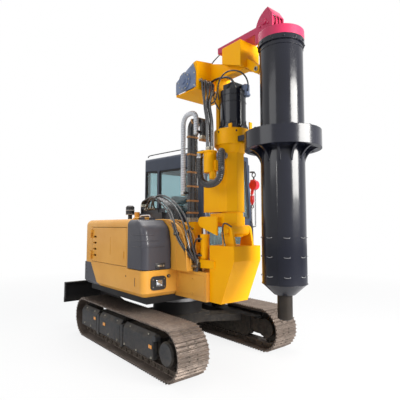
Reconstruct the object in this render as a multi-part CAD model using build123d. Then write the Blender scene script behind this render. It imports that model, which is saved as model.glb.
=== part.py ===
from build123d import *
import math
import os

# A crawler pile driver rig: steel tracks and a dozer blade, a slewing upper structure with a cab,
# an octagonal telescoping mast on the front frame, and a hammer casing hung beside the mast.
# All sizes are in millimetres. X points forward, Y to the machine's left and Z up.
# The origin is on the ground under the slewing centre.

# Fits
SEAT = 0.3
CLEAR = 6.0
PIN_FIT = 0.3
EYE_FIT = 5.0

# Tracks
TRACK_LENGTH = 2670.0
TRACK_HEIGHT = 553.0
GAUGE = 1506.0
SHOE_WIDTH = 400.0
GROUSER_HEIGHT = 18.0
GROUSER_BASE = 22.0
PAD_THICKNESS = 10.0
LINK_HEIGHT = 60.0
LINK_WIDTH = 150.0
SHOES_PER_RUN = 16
SHOES_PER_END = 6
SHOE_SHARE = 0.94
SHOE_GROOVE = 6.0

# Side frames, wheels and rollers
BEAM_REACH = 860.0
BEAM_HALF_WIDTH = 100.0
BEAM_BELOW_AXLE = 66.0
BEAM_ABOVE_AXLE = 108.0
CHEEK_THICKNESS = 15.0
CHEEK_REACH = 800.0
FORK_HALF_GAP = 66.0
FORK_HEIGHT = 100.0
IDLER_HALF_WIDTH = 55.0
HUB_RADIUS = 60.0
ROLLER_RADIUS = 55.0
ROLLER_HALF_WIDTH = 80.0
ROLLER_AXLE = 22.0
ROLLER_COUNT = 5
ROLLER_PITCH = 320.0
CARRIER_RADIUS = 38.0
CARRIER_HALF_WIDTH = 60.0
CARRIER_EAR = 15.0
DRIVE_RADIUS = 115.0
DRIVE_DISC_RADIUS = 130.0
SPROCKET_HALF_WIDTH = 28.0
SPROCKET_TEETH = 21
TOOTH_DEPTH = 24.0
DRIVE_PLATE_REACH = 120.0
COVER_DEPTH = 57.0
COVER_BOTTOM = 150.0
COVER_TOP = 430.0
COVER_FACE_TOP = 366.0
COVER_EDGE = 10.0
DRIVE_EDGE = 16.0
COVER_SPANS = ((-1160.0, -650.0), (-560.0, 40.0), (130.0, 810.0))
STEP_CENTRES = (-605.0, 85.0)
STEP_WIDTH = 64.0
STEP_REACH = 24.0

# Centre frame and slewing ring
FRAME_BOTTOM = 300.0
FRAME_PLATE_TOP = 430.0
FRAME_HALF_LENGTH = 360.0
FRAME_HALF_WIDTH = 300.0
LEG_INNER_X = 130.0
LEG_OUTER_X = 340.0
LEG_FOOT_NEAR = 330.0
LEG_FOOT_FAR = 640.0
TURRET_RADIUS = 345.0
TURRET_TOP = 600.0
RING_RADIUS = 360.0
RING_BORE = 250.0
RING_LOWER_HEIGHT = 50.0
RING_UPPER_HEIGHT = 49.7

# Dozer blade, stored raised
BLADE_PIVOT_X = -640.0
BLADE_PIVOT_Z = 330.0
BLADE_PIN = 25.0
BLADE_EYE = 48.0
BLADE_LUG_THICKNESS = 40.0
BLADE_LUG_Y = 300.0
BLADE_ARM_THICKNESS = 50.0
BLADE_FACE_X = -1790.0
BLADE_THICKNESS = 22.0
BLADE_BULGE = 28.0
BLADE_BOTTOM = 400.0
BLADE_TOP = 700.0
BLADE_HALF_WIDTH = 980.0
BLADE_RAM_BASE = (-420.0, 485.0)
BLADE_RAM_TIP = (-1690.0, 560.0)
BLADE_RAM_PIN = 18.0
BLADE_BARREL_RADIUS = 45.0
BLADE_ROD_RADIUS = 25.0
RAM_EYE_WIDTH = 60.0
RAM_EAR_THICKNESS = 20.0
RAM_SHOULDER = 16.0

# Upper structure
DECK_THICKNESS = 80.0
DECK_HALF_WIDTH = 860.0
DECK_TAIL_RADIUS = 1300.0
UPPER_HALF_WIDTH = 930.0
UPPER_FRONT = 600.0
TAIL_RADIUS = 1420.0
SPLIT_FROM_TAIL = 550.0
SPLIT_SLANT = 250.0
SKIRT_TOP = 1090.0
SKIRT_CORNER = 80.0
SKIRT_BEVEL = 45.0
CAB_FLOOR = 930.0
WEB_THICKNESS = 20.0
WEB_HEIGHT = 270.0
WEB_PLACES = (-420.0, -130.0)

# Hood and its covers
HOOD_TOP = 1700.0
HOOD_FRONT = 230.0
HOOD_INNER = -70.0
HOOD_WALL = 25.0
HOOD_ROUND = 85.0
HOOD_CORNER = 150.0
BEHIND_CAB = -940.0
SIDE_COVER_FROM_CORNER = 243.08
SIDE_COVER_FRONT = 198.0
SIDE_COVER_BOTTOM = 1112.0
SIDE_COVER_TOP = 1592.0
SIDE_HINGE_OFFSET = 22.0
HINGE_RADIUS = 9.0
HINGE_PIN = 5.0
HINGE_KNUCKLE = 60.0
SLOT_COUNT = 4
SLOT_LENGTH = 104.0
SLOT_HEIGHT = 26.0
SLOT_PITCH = 87.0
SLOT_FIRST_Z = 1200.0
TAIL_SLOT_LENGTH = 80.0
TAIL_SLOT_BEARING = 213.0
NOSE_FRONT = 622.0
NOSE_GAP = 10.0
NOSE_INNER = -560.0
NOSE_TOP = 1690.0
NOSE_SHOULDER_X = 440.0
NOSE_BROW_Z = 1400.0
NOSE_BROW = (575.0, 1595.0)
NOSE_BEND = 140.0
NOSE_BOTTOM = 1100.0
NOSE_PROUD = 8.0
NOSE_WALL = 18.0
NOSE_ROUND = 70.0
NOSE_HINGE_RISE = 14.0
TANK_LENGTH = 290.0
TANK_EDGE = 30.0
FILLER_RADIUS = 38.0
TANK_HEIGHT = 330.0
FENDER_FRONT = 930.0
FENDER_OUTER = -550.0
FENDER_INNER = -400.0
FENDER_BULGE = (760.0, 1490.0)
FENDER_CREST_X = 400.0
FENDER_FOOT = 30.0
ENGINE_LENGTH = 800.0
ENGINE_HEIGHT = 470.0
ENGINE_CENTRE_X = -500.0
ENGINE_SIDE_GAP = 145.0
ENGINE_INNER_GAP = 105.0

# Work lamp and the round button beside it
LAMP_FROM_SIDE = 207.0
LAMP_Z = 941.0
LAMP_SIZE = (210.0, 160.0)
LAMP_EDGE = 44.0
LAMP_DEPTH = 16.0
LENS_SIZE = (96.0, 84.0)
LENS_EDGE = 16.0
LENS_DEPTH = 8.0
BUTTON_FROM_LAMP = (145.0, 71.0)
BUTTON_RADIUS = 20.0

# Cab
CAB_REAR = -920.0
CAB_FRONT = 620.0
CAB_RIGHT = -30.0
CAB_LEFT = 930.0
CAB_REAR_HEIGHT = 2705.0
CAB_FRONT_HEIGHT = 2640.0
CAB_BROW_Z = 1650.0
CAB_RAKE = 70.0
CAB_WALL = 45.0
CAB_ROUND = 55.0
GLASS = 6.0
DOOR_REAR = -240.0
DOOR_FRONT = 545.0
DOOR_BOTTOM = 985.0
DOOR_TOP = 2540.0
DOOR_FRAME = 70.0
DOOR_WAIST = 480.0
DOOR_HINGE_LOW = 160.0
DOOR_HINGE_HIGH = 260.0
SEAT_X = -330.0
SEAT_HALF = 245.0
SEAT_RISE = 330.0
SEAT_BACK_RISE = 1080.0
CONSOLE_OFFSET = 330.0
CONSOLE_RISE = 520.0
CONSOLE_SPAN = (-470.0, 60.0)
LEVER_RISE = 690.0
PEDAL_X = 365.0
PEDAL_LEVER_RISE = 560.0

# Front frame and mast foot
NOSE_FRAME_REAR = 570.0
NOSE_FRAME_FRONT = 1155.0
NOSE_FRAME_RIGHT = -450.0
NOSE_FRAME_LEFT = 70.0
NOSE_FRAME_BOTTOM = 765.0
NOSE_PANEL = (895.0, 933.0)
NOSE_PANEL_SIZE = (461.0, 234.0)
MAST_X = 1310.0
MAST_Y = -190.0
BASE_FRONT = 1540.0
BASE_KEEL = 1340.0
BASE_HALF_WIDTH = 210.0
BASE_LIP_BOTTOM = 1235.0
BASE_TOP = 1395.0
PIVOT_Z = 1560.0
PIVOT_X = 1400.0
PIVOT_PIN = 30.0
PIVOT_BOSS = 62.0
CHEEK_LUG = 30.0
LUG_FOOT = 95.0

# Mast
COLUMN_FLATS = 240.0
COLUMN_TOP = 2500.0
COLUMN_BOTTOM = 1490.0
SHOULDER_REAR = 1100.0
SHOULDER_HALF_WIDTH = 150.0
SHOULDER_BOTTOM = 1642.0
SHOULDER_TOP = 1755.0
SHOULDER_CHAMFER = 95.0
SLEEVE_FLATS = 270.0
SLEEVE_BOTTOM = 1768.0
SADDLE_REAR = 985.0
SADDLE_TOP = 2125.0
SADDLE_CHAMFER = 60.0
CAP_RADIUS = 205.0
CAP_BOTTOM = 2519.0
CAP_TOP = 2705.0
NECK_HEIGHT = 80.0
DRIVE_MOTOR_RADIUS = 147.0
DRIVE_MOTOR_TOP = 3159.0
DRIVE_MOTOR_X = 1335.0
DRIVE_FLANGE = 172.0
DRIVE_FLANGE_HEIGHT = 24.0

# Mast tilt rams, one on each side of the mast
TILT_RAM_X = 1030.0
TILT_RAM_BASE_Z = 1180.0
TILT_RAM_TIP_Z = 1650.0
TILT_RAM_OFFSET = 172.0
TILT_SHAFT = 24.0
TILT_BARREL_RADIUS = 50.0
TILT_ROD_RADIUS = 28.0
TILT_EYE_WIDTH = 48.0
TILT_BOSS = 42.0
ELBOW_PLATE = 24.0
ELBOW_BOSS = 60.0
ELBOW_FRONT = 1290.0
ELBOW_DROP = 1507.0
ELBOW_TOP = 1718.0
ELBOW_SPACER = (1112.0, 1278.0)
STAY_FRONT = 1247.0
STAY_RISE = 41.0

# Crown and winch
CROWN_REAR = 600.0
CROWN_FRONT = 1005.0
CROWN_HALF_WIDTH = 280.0
CROWN_FLOOR = 3240.0
CROWN_TOP = 3580.0
CROWN_PEAK = 3612.0
CROWN_PLATE = 18.0
WINCH_X = 790.0
WINCH_Z = 3400.0
WINCH_DRUM = 85.0
WINCH_FLANGE = 125.0
WINCH_SHAFT = 22.0
WINCH_HUB = 42.0
BEAM_REAR = 1312.0
BEAM_FRONT = 1603.0
BEAM_REAR_BOTTOM = 3462.0
BEAM_BOTTOM = 3350.0
BEAM_TOP = 3645.0
BEAM_HALF = 150.0
NECK_HALF_WIDTH = 55.0
NECK_TOP = 3490.0
NECK_BOTTOM = 3360.0
POST_HALF_WIDTH = 60.0
LUG_EYE = (1735.0, 3295.0)
LUG_RADIUS = 44.0
LUG_BORE = 16.0
LUG_HALF_WIDTH = 45.0
LUG_PLATE = 22.0

# Red sheave head
HEAD_HALF_WIDTH = 95.0
HEAD_REAR = 1180.0
HEAD_PLATE = 70.0
CHEEK_REAR = 1770.0
CHEEK_FRONT = 2000.0
CHEEK_APEX = (1925.0, 3872.0)
CHEEK_PLATE = 16.0
SHEAVE_X = 1888.0
SHEAVE_Z = 3735.0
SHEAVE_RADIUS = 100.0
SHEAVE_THICKNESS = 26.0
SHEAVE_COUNT = 3
SHEAVE_PITCH = 55.0
SHEAVE_SHAFT = 20.0
SHEAVE_GROOVE = 14.0

# Hammer casing and striker
TOOL_X = 2030.0
TUBE_RADIUS = 217.0
TUBE_WALL = 25.0
TUBE_BOTTOM = 1054.0
TUBE_TOP = 3468.0
RIM_RADIUS = 233.0
RIM_HEIGHT = 50.0
COLLAR_HEIGHT = 90.0
FLANGE_RADIUS = 379.0
FLANGE_BOTTOM = 2368.0
FLANGE_TOP = 2541.0
FLARE_HEIGHT = 139.0
GUSSET_COUNT = 12
GUSSET_THICKNESS = 22.0
CONE_HEIGHT = 104.0
CONE_RADIUS = 104.0
BUSH_HEIGHT = 60.0
STRIKER_RADIUS = 73.0
STRIKER_BOTTOM = 712.0
STRIKER_SHOULDER = 160.0
CLAMP_HALF_WIDTH = 90.0
CLAMP_HEIGHT = 60.0

# Hose pack and sleeve beside the mast
PACK_Y = -300.0
PACK_WIDTH = 150.0
PACK_DEPTH = 44.0
PACK_EDGE = 18.0
PACK_REAR_X = 720.0
PACK_FRONT_X = 960.0
PACK_CREST_Z = 2918.0
PACK_END_Z = 2642.0
SLEEVE_HOSE_RADIUS = 28.0
SLEEVE_HOSE_Y = -410.0
SLEEVE_HOSE_REAR_X = 714.0
SLEEVE_HOSE_FRONT_X = 985.0
SLEEVE_HOSE_CREST_Z = 2985.0
SLEEVE_HOSE_FOOT_Z = 1985.0
SLEEVE_HOSE_END_Z = 2700.0
TIE_HEIGHT = 26.0

# Valve stack on the front frame, valve bank on the hood and the hoses between them
STACK_X = 790.0
STACK_Y = -330.0
STACK_HALF_WIDTH = 58.0
STACK_FOOT = (740.0, 864.0, 1240.0)
STACK_MIDDLE = (708.0, 902.0, 1291.0, 1415.0)
STACK_HEAD = (687.0, 864.0, 1504.0, 1662.0)
STACK_NECK = 42.0
BANK_SPAN = (-395.0, 185.0)
BANK_HEAD_SPAN = (-335.0, 65.0)
BANK_Y = (-400.0, -240.0)
BANK_RISE = 95.0
BANK_HEAD_RISE = 160.0
PORT_RISE = 190.0
PORT_RADIUS = 18.0
HOOD_HOSE_RADIUS = 12.0
HOOD_HOSE_COUNT = 5
HOOD_HOSE_PITCH = 26.0
HOOD_HOSE_RUN = ((-372.0, 1962.0), (-80.0, 2030.0), (270.0, 1905.0), (703.0, 1212.0), (752.0, 1198.0))
HOOD_HOSE_BENDS = (60.0, 200.0, 200.0, 20.0)

# Valve and hoses on the outer mast
VALVE_X = 1224.0
VALVE_Y = -450.0
VALVE_RADIUS = 72.0
VALVE_CAP = 82.0
VALVE_BOTTOM = 2208.0
VALVE_PORT = (1270.0, 38.0, 2132.0)
VALVE_TOP = 2432.0
VALVE_CAP_HEIGHT = 20.0
LOOP_RADIUS = 30.0
LOOP_Y = -505.0
LOOP_REAR_X = 1125.0
LOOP_FRONT_X = 1470.0
LOOP_BOTTOM = 2066.0
LOOP_END_X = 1345.0
LOOP_END_Z = 2398.0
CROWN_HOSE_RADIUS = 13.0
CROWN_HOSE_START_Z = 3345.0
CROWN_HOSE_WAIST = 3000.0
CROWN_HOSE_DROP = 2780.0
CROWN_HOSE_STARTS = (-400.0, -364.0, -328.0, -292.0)
CROWN_HOSE_ENDS = ((-30.0, 0.0), (0.0, 14.0), (0.0, -16.0), (30.0, 0.0))

# Worked-out places
AXLE_Z = TRACK_HEIGHT / 2
END_X = TRACK_LENGTH / 2 - AXLE_Z
PAD_RADIUS = AXLE_Z - GROUSER_HEIGHT
CHAIN_RADIUS = PAD_RADIUS - PAD_THICKNESS
INNER_RADIUS = CHAIN_RADIUS - LINK_HEIGHT
SIDE_Y = GAUGE / 2
BEAM_OUTER = BEAM_HALF_WIDTH + CHEEK_THICKNESS
ROLLER_Z = AXLE_Z - INNER_RADIUS + SEAT + ROLLER_RADIUS
CARRIER_Z = AXLE_Z + INNER_RADIUS - SEAT - CARRIER_RADIUS
RING_SPLIT = TURRET_TOP + RING_LOWER_HEIGHT
DECK_BOTTOM = RING_SPLIT + SEAT + RING_UPPER_HEIGHT
DECK_TOP = DECK_BOTTOM + DECK_THICKNESS
FRAME_FACE = SIDE_Y - BEAM_OUTER
SPLIT_HIGH = SPLIT_FROM_TAIL - TAIL_RADIUS
SPLIT_LOW = SPLIT_HIGH + SPLIT_SLANT
WEB_REAR = SPLIT_LOW + WEB_THICKNESS
TAIL_CORNER_X = -math.sqrt(TAIL_RADIUS ** 2 - UPPER_HALF_WIDTH ** 2)
SIDE_COVER_REAR = TAIL_CORNER_X + SIDE_COVER_FROM_CORNER
NOSE_HINGE_Z = HOOD_TOP + NOSE_HINGE_RISE
BLADE_ARM_Y = BLADE_LUG_Y + BLADE_LUG_THICKNESS / 2 + CLEAR


def cuboid(x0, x1, y0, y1, z0, z1):
    """A block between two corners."""
    return Pos((x0 + x1) / 2, (y0 + y1) / 2, (z0 + z1) / 2) * Box(x1 - x0, y1 - y0, z1 - z0)


def poly(*points):
    """A flat polygon through the points."""
    return Polygon(*points, align=None)


def side_slab(outline, y0, y1):
    """An outline drawn in X and Z, pushed from y0 to y1."""
    face = Plane((0, y0, 0), x_dir=(1, 0, 0), z_dir=(0, -1, 0)) * outline
    return extrude(face, amount=y1 - y0, dir=(0, 1, 0))


def flat_slab(outline, z0, z1):
    """An outline drawn in X and Y, pushed from z0 to z1."""
    return extrude(Pos(0, 0, z0) * outline, amount=z1 - z0, dir=(0, 0, 1))


def front_slab(outline, x0, x1):
    """An outline drawn in Y and Z, pushed from x0 to x1."""
    face = Plane((x0, 0, 0), x_dir=(0, 1, 0), z_dir=(1, 0, 0)) * outline
    return extrude(face, amount=x1 - x0, dir=(1, 0, 0))


def round_y(radius, x, z, y0, y1):
    """A round bar along Y."""
    return Pos(x, (y0 + y1) / 2, z) * Rot(90, 0, 0) * Cylinder(radius, abs(y1 - y0))


def round_z(radius, x, y, z0, z1):
    """A round bar along Z."""
    return Pos(x, y, (z0 + z1) / 2) * Cylinder(radius, z1 - z0)


def octagon(across_flats):
    """A regular octagon with flats facing X and Y."""
    return Rot(0, 0, 22.5) * RegularPolygon(across_flats / 2, 8, major_radius=False)


def stadium(radius):
    """The racetrack outline round both track wheels, in X and Z about the axle height."""
    return Pos(0, AXLE_Z) * SlotCenterToCenter(2 * END_X, 2 * radius)


def shoe_frames():
    """Middle, travel direction and outward direction of every track shoe, once round the loop."""
    frames = []
    step = 2 * END_X / SHOES_PER_RUN
    turn = 180 / SHOES_PER_END
    for half in (0, 1):
        sign = 1 - 2 * half
        along = Vector(sign, 0)
        out = Vector(0, -sign)
        for i in range(SHOES_PER_RUN + 1):
            x = sign * (-END_X + i * step)
            frames.append((Vector(x, AXLE_Z) + out * PAD_RADIUS, along, out))
        for i in range(1, SHOES_PER_END):
            angle = math.radians(180 * half + i * turn)
            along_end = Vector(math.cos(angle), math.sin(angle))
            out_end = Vector(math.sin(angle), -math.cos(angle))
            frames.append((Vector(sign * END_X, AXLE_Z) + out_end * PAD_RADIUS, along_end, out_end))
    return frames


def shoe_outline():
    """The toothed outer line of a track loop: three grousers on each shoe and a groove between."""
    length = SHOE_SHARE * 2 * END_X / SHOES_PER_RUN
    profile = [(-length / 2, 0.0)]
    for place in (-0.36, 0.0, 0.36):
        middle = place * length
        profile.append((middle - GROUSER_BASE / 2, 0.0))
        profile.append((middle, GROUSER_HEIGHT))
        profile.append((middle + GROUSER_BASE / 2, 0.0))
    profile.append((length / 2, 0.0))
    frames = shoe_frames()
    points = []
    for i, (middle, along, out) in enumerate(frames):
        following = frames[(i + 1) % len(frames)]
        for s, h in profile:
            points.append(middle + along * s + out * h)
        start = following[0] - following[1] * (length / 2)
        inward = (out + following[2]).normalized() * SHOE_GROOVE
        points.append((points[-1] + start) * 0.5 - inward)
    return Polygon(*[(p.X, p.Y) for p in points], align=None)


def track(side):
    """One steel track: the shoes round the outside and the chain of links inside them."""
    middle = side * SIDE_Y
    pads = shoe_outline() - stadium(CHAIN_RADIUS)
    chain = stadium(CHAIN_RADIUS + 1) - stadium(INNER_RADIUS)
    shoes = side_slab(pads, middle - SHOE_WIDTH / 2, middle + SHOE_WIDTH / 2)
    links = side_slab(chain, middle - LINK_WIDTH / 2, middle + LINK_WIDTH / 2)
    return shoes + links


def side_frame(side):
    """A track frame: box beam, roller cheeks, idler fork and the plate that carries the final drive."""
    middle = side * SIDE_Y
    beam_bottom = AXLE_Z - BEAM_BELOW_AXLE
    beam_top = AXLE_Z + BEAM_ABOVE_AXLE
    shape = cuboid(-BEAM_REACH, BEAM_REACH, middle - BEAM_HALF_WIDTH, middle + BEAM_HALF_WIDTH,
                   beam_bottom, beam_top)
    for hand in (-1, 1):
        inner = middle + hand * BEAM_HALF_WIDTH
        outer = middle + hand * BEAM_OUTER
        y0, y1 = min(inner, outer), max(inner, outer)
        cheek = poly((-CHEEK_REACH, beam_top), (-CHEEK_REACH, beam_bottom),
                     (-CHEEK_REACH + 60, ROLLER_Z - ROLLER_AXLE - 6),
                     (CHEEK_REACH - 60, ROLLER_Z - ROLLER_AXLE - 6),
                     (CHEEK_REACH, beam_bottom), (CHEEK_REACH, beam_top))
        shape += side_slab(cheek, y0, y1)
        fork_inner = middle + hand * FORK_HALF_GAP
        f0, f1 = min(fork_inner, inner), max(fork_inner, inner)
        shape += cuboid(-END_X, -BEAM_REACH, f0, f1, AXLE_Z - FORK_HEIGHT / 2, AXLE_Z + FORK_HEIGHT / 2)
        shape += round_y(FORK_HEIGHT / 2, -END_X, AXLE_Z, f0, f1)
        ear_inner = middle + hand * CARRIER_HALF_WIDTH
        ear_outer = ear_inner + hand * CARRIER_EAR
        e0, e1 = min(ear_inner, ear_outer), max(ear_inner, ear_outer)
        shape += cuboid(-26, 26, e0, e1, beam_top, CARRIER_Z + 20)
    plate_inner = middle - side * FORK_HALF_GAP
    plate_outer = middle - side * BEAM_HALF_WIDTH
    p0, p1 = min(plate_inner, plate_outer), max(plate_inner, plate_outer)
    shape += cuboid(BEAM_REACH, END_X, p0, p1, AXLE_Z - 90, AXLE_Z + 90)
    shape += round_y(DRIVE_PLATE_REACH, END_X, AXLE_Z, p0, p1)
    return shape


def sprockets():
    """Both final drives, each with its toothed rim and the round cover on the outside."""
    tip = INNER_RADIUS - SEAT
    root = tip - TOOTH_DEPTH
    step = 360 / SPROCKET_TEETH
    points = []
    for i in range(SPROCKET_TEETH):
        for share, radius in ((-0.18, tip), (0.18, tip), (0.36, root), (0.64, root)):
            angle = math.radians((i + share) * step)
            points.append((END_X + radius * math.cos(angle), AXLE_Z + radius * math.sin(angle)))
    rim = Polygon(*points, align=None)
    solids = []
    for side in (-1, 1):
        middle = side * SIDE_Y
        inner = middle - side * FORK_HALF_GAP
        outer = middle + side * BEAM_OUTER
        cover = outer + side * COVER_DEPTH
        wheel = side_slab(rim, middle - SPROCKET_HALF_WIDTH, middle + SPROCKET_HALF_WIDTH)
        wheel += round_y(DRIVE_RADIUS, END_X, AXLE_Z, min(inner, outer), max(inner, outer))
        disc = round_y(DRIVE_DISC_RADIUS, END_X, AXLE_Z, min(outer, cover), max(outer, cover))
        edge = disc.edges().filter_by(GeomType.CIRCLE).sort_by(Axis.Y)
        wheel += chamfer(edge[0] if side < 0 else edge[-1], DRIVE_EDGE)
        solids.append(wheel)
    return Compound(children=solids)


def idlers():
    """The two idler wheels at the blade end."""
    solids = []
    for side in (-1, 1):
        middle = side * SIDE_Y
        wheel = round_y(INNER_RADIUS - SEAT, -END_X, AXLE_Z,
                        middle - IDLER_HALF_WIDTH, middle + IDLER_HALF_WIDTH)
        wheel += round_y(HUB_RADIUS, -END_X, AXLE_Z, middle - FORK_HALF_GAP, middle + FORK_HALF_GAP)
        solids.append(wheel)
    return Compound(children=solids)


def rollers():
    """Bottom rollers and one carrier roller on each side frame."""
    solids = []
    first = -ROLLER_PITCH * (ROLLER_COUNT - 1) / 2
    for side in (-1, 1):
        middle = side * SIDE_Y
        for i in range(ROLLER_COUNT):
            x = first + i * ROLLER_PITCH
            roller = round_y(ROLLER_RADIUS, x, ROLLER_Z, middle - ROLLER_HALF_WIDTH,
                             middle + ROLLER_HALF_WIDTH)
            roller += round_y(ROLLER_AXLE, x, ROLLER_Z, middle - BEAM_HALF_WIDTH,
                              middle + BEAM_HALF_WIDTH)
            solids.append(roller)
        solids.append(round_y(CARRIER_RADIUS, 0, CARRIER_Z, middle - CARRIER_HALF_WIDTH,
                              middle + CARRIER_HALF_WIDTH))
    return Compound(children=solids)


def frame_covers():
    """The sloping boxes and the step brackets on the outside of each track frame."""
    solids = []
    for side in (-1, 1):
        face = side * (SIDE_Y + BEAM_OUTER)
        front = face + side * COVER_DEPTH
        y0, y1 = min(face, front), max(face, front)
        for x0, x1 in COVER_SPANS:
            outline = poly((face, COVER_BOTTOM), (front, COVER_BOTTOM), (front, COVER_FACE_TOP), (face, COVER_TOP))
            box = front_slab(outline, x0, x1)
            outer_edges = box.faces().sort_by(Axis.Y)[0 if side < 0 else -1].edges()
            solids.append(chamfer(outer_edges, COVER_EDGE))
        for x in STEP_CENTRES:
            solids.append(cuboid(x - STEP_WIDTH / 2, x + STEP_WIDTH / 2, y0, y1,
                                 COVER_BOTTOM - STEP_REACH, COVER_FACE_TOP + STEP_REACH))
    return Compound(children=solids)


def centre_frame():
    """The X-shaped frame between the tracks, with its turret and the blade's lugs."""
    shape = cuboid(-FRAME_HALF_LENGTH, FRAME_HALF_LENGTH, -FRAME_HALF_WIDTH, FRAME_HALF_WIDTH,
                   FRAME_BOTTOM, FRAME_PLATE_TOP)
    for sx in (-1, 1):
        for sy in (-1, 1):
            leg = poly((sx * LEG_INNER_X, sy * FRAME_HALF_WIDTH * 0.8),
                       (sx * LEG_OUTER_X, sy * FRAME_HALF_WIDTH * 0.5),
                       (sx * LEG_FOOT_FAR, sy * FRAME_FACE),
                       (sx * LEG_FOOT_NEAR, sy * FRAME_FACE))
            shape += flat_slab(leg, FRAME_BOTTOM, FRAME_PLATE_TOP - 40)
    shape += round_z(TURRET_RADIUS, 0, 0, FRAME_PLATE_TOP, TURRET_TOP)
    for side in (-1, 1):
        y0 = side * BLADE_LUG_Y - BLADE_LUG_THICKNESS / 2
        y1 = y0 + BLADE_LUG_THICKNESS
        lug = poly((-FRAME_HALF_LENGTH + 10, FRAME_BOTTOM), (-FRAME_HALF_LENGTH + 10, FRAME_PLATE_TOP),
                   (BLADE_PIVOT_X, BLADE_PIVOT_Z + BLADE_EYE), (BLADE_PIVOT_X, BLADE_PIVOT_Z - BLADE_EYE))
        shape += side_slab(lug, y0, y1)
        shape += round_y(BLADE_EYE, BLADE_PIVOT_X, BLADE_PIVOT_Z, y0, y1)
        pin_start = side * BLADE_LUG_Y
        pin_end = side * (BLADE_ARM_Y + BLADE_ARM_THICKNESS + CLEAR)
        shape += round_y(BLADE_PIN, BLADE_PIVOT_X, BLADE_PIVOT_Z, min(pin_start, pin_end),
                         max(pin_start, pin_end))
    foot_x = -FRAME_HALF_LENGTH + 5
    shape += ram_ears(BLADE_RAM_BASE, 0, (foot_x, FRAME_PLATE_TOP - 5), (foot_x, FRAME_BOTTOM + 20),
                      BLADE_RAM_PIN)
    return shape


def ram_ears(pivot, middle, foot_a, foot_b, pin):
    """Two ears and their pin at one end of a ram, standing on the line between two feet."""
    px, pz = pivot
    radius = pin + 18
    shape = None
    for side in (-1, 1):
        near = middle + side * (RAM_EYE_WIDTH / 2 + CLEAR)
        far = near + side * RAM_EAR_THICKNESS
        outline = make_hull([*(Pos(px, pz) * Circle(radius)).edges(), Edge.make_line(foot_a, foot_b)])
        ear = side_slab(outline, min(near, far), max(near, far))
        shape = ear if shape is None else shape + ear
    reach = RAM_EYE_WIDTH / 2 + CLEAR + RAM_EAR_THICKNESS
    return shape + round_y(pin, px, pz, middle - reach, middle + reach)


def ram(base, tip, middle, barrel_radius, rod_radius, base_pin, tip_pin, eye_width, barrel_share):
    """A hydraulic ram between two pins: the barrel on the base pin and the rod on the tip pin."""
    bx, bz = base
    tx, tz = tip
    length = math.hypot(tx - bx, tz - bz)
    frame = Plane(origin=(bx, middle, bz), x_dir=(0, 1, 0), z_dir=(tx - bx, 0, tz - bz))
    base_eye = base_pin + 16
    tip_eye = tip_pin + 16
    barrel_end = length * barrel_share
    across = Rot(0, 90, 0)
    barrel_start = base_eye + RAM_SHOULDER
    barrel = Pos(0, 0, (barrel_start + barrel_end) / 2) * Cylinder(barrel_radius, barrel_end - barrel_start)
    barrel += across * Cylinder(base_eye, eye_width)
    barrel += Pos(0, 0, barrel_start / 2) * Box(eye_width, 2 * base_eye, barrel_start + 10)
    barrel += Pos(0, 0, barrel_end - 22) * Cylinder(barrel_radius + 6, 44)
    barrel -= across * Cylinder(base_pin + PIN_FIT, eye_width * 2)
    bore_start = barrel_start + 12
    barrel -= Pos(0, 0, (bore_start + barrel_end + 10) / 2) * Cylinder(rod_radius + PIN_FIT,
                                                                      barrel_end + 10 - bore_start)
    rod_start = barrel_end - (barrel_end - bore_start) * 0.6
    rod = Pos(0, 0, (rod_start + length - tip_eye * 0.6) / 2) * Cylinder(
        rod_radius, length - tip_eye * 0.6 - rod_start)
    rod += Pos(0, 0, length) * across * Cylinder(tip_eye + EYE_FIT, eye_width)
    rod -= Pos(0, 0, length) * across * Cylinder(tip_pin + EYE_FIT, eye_width * 2)
    return frame * barrel, frame * rod


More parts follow.
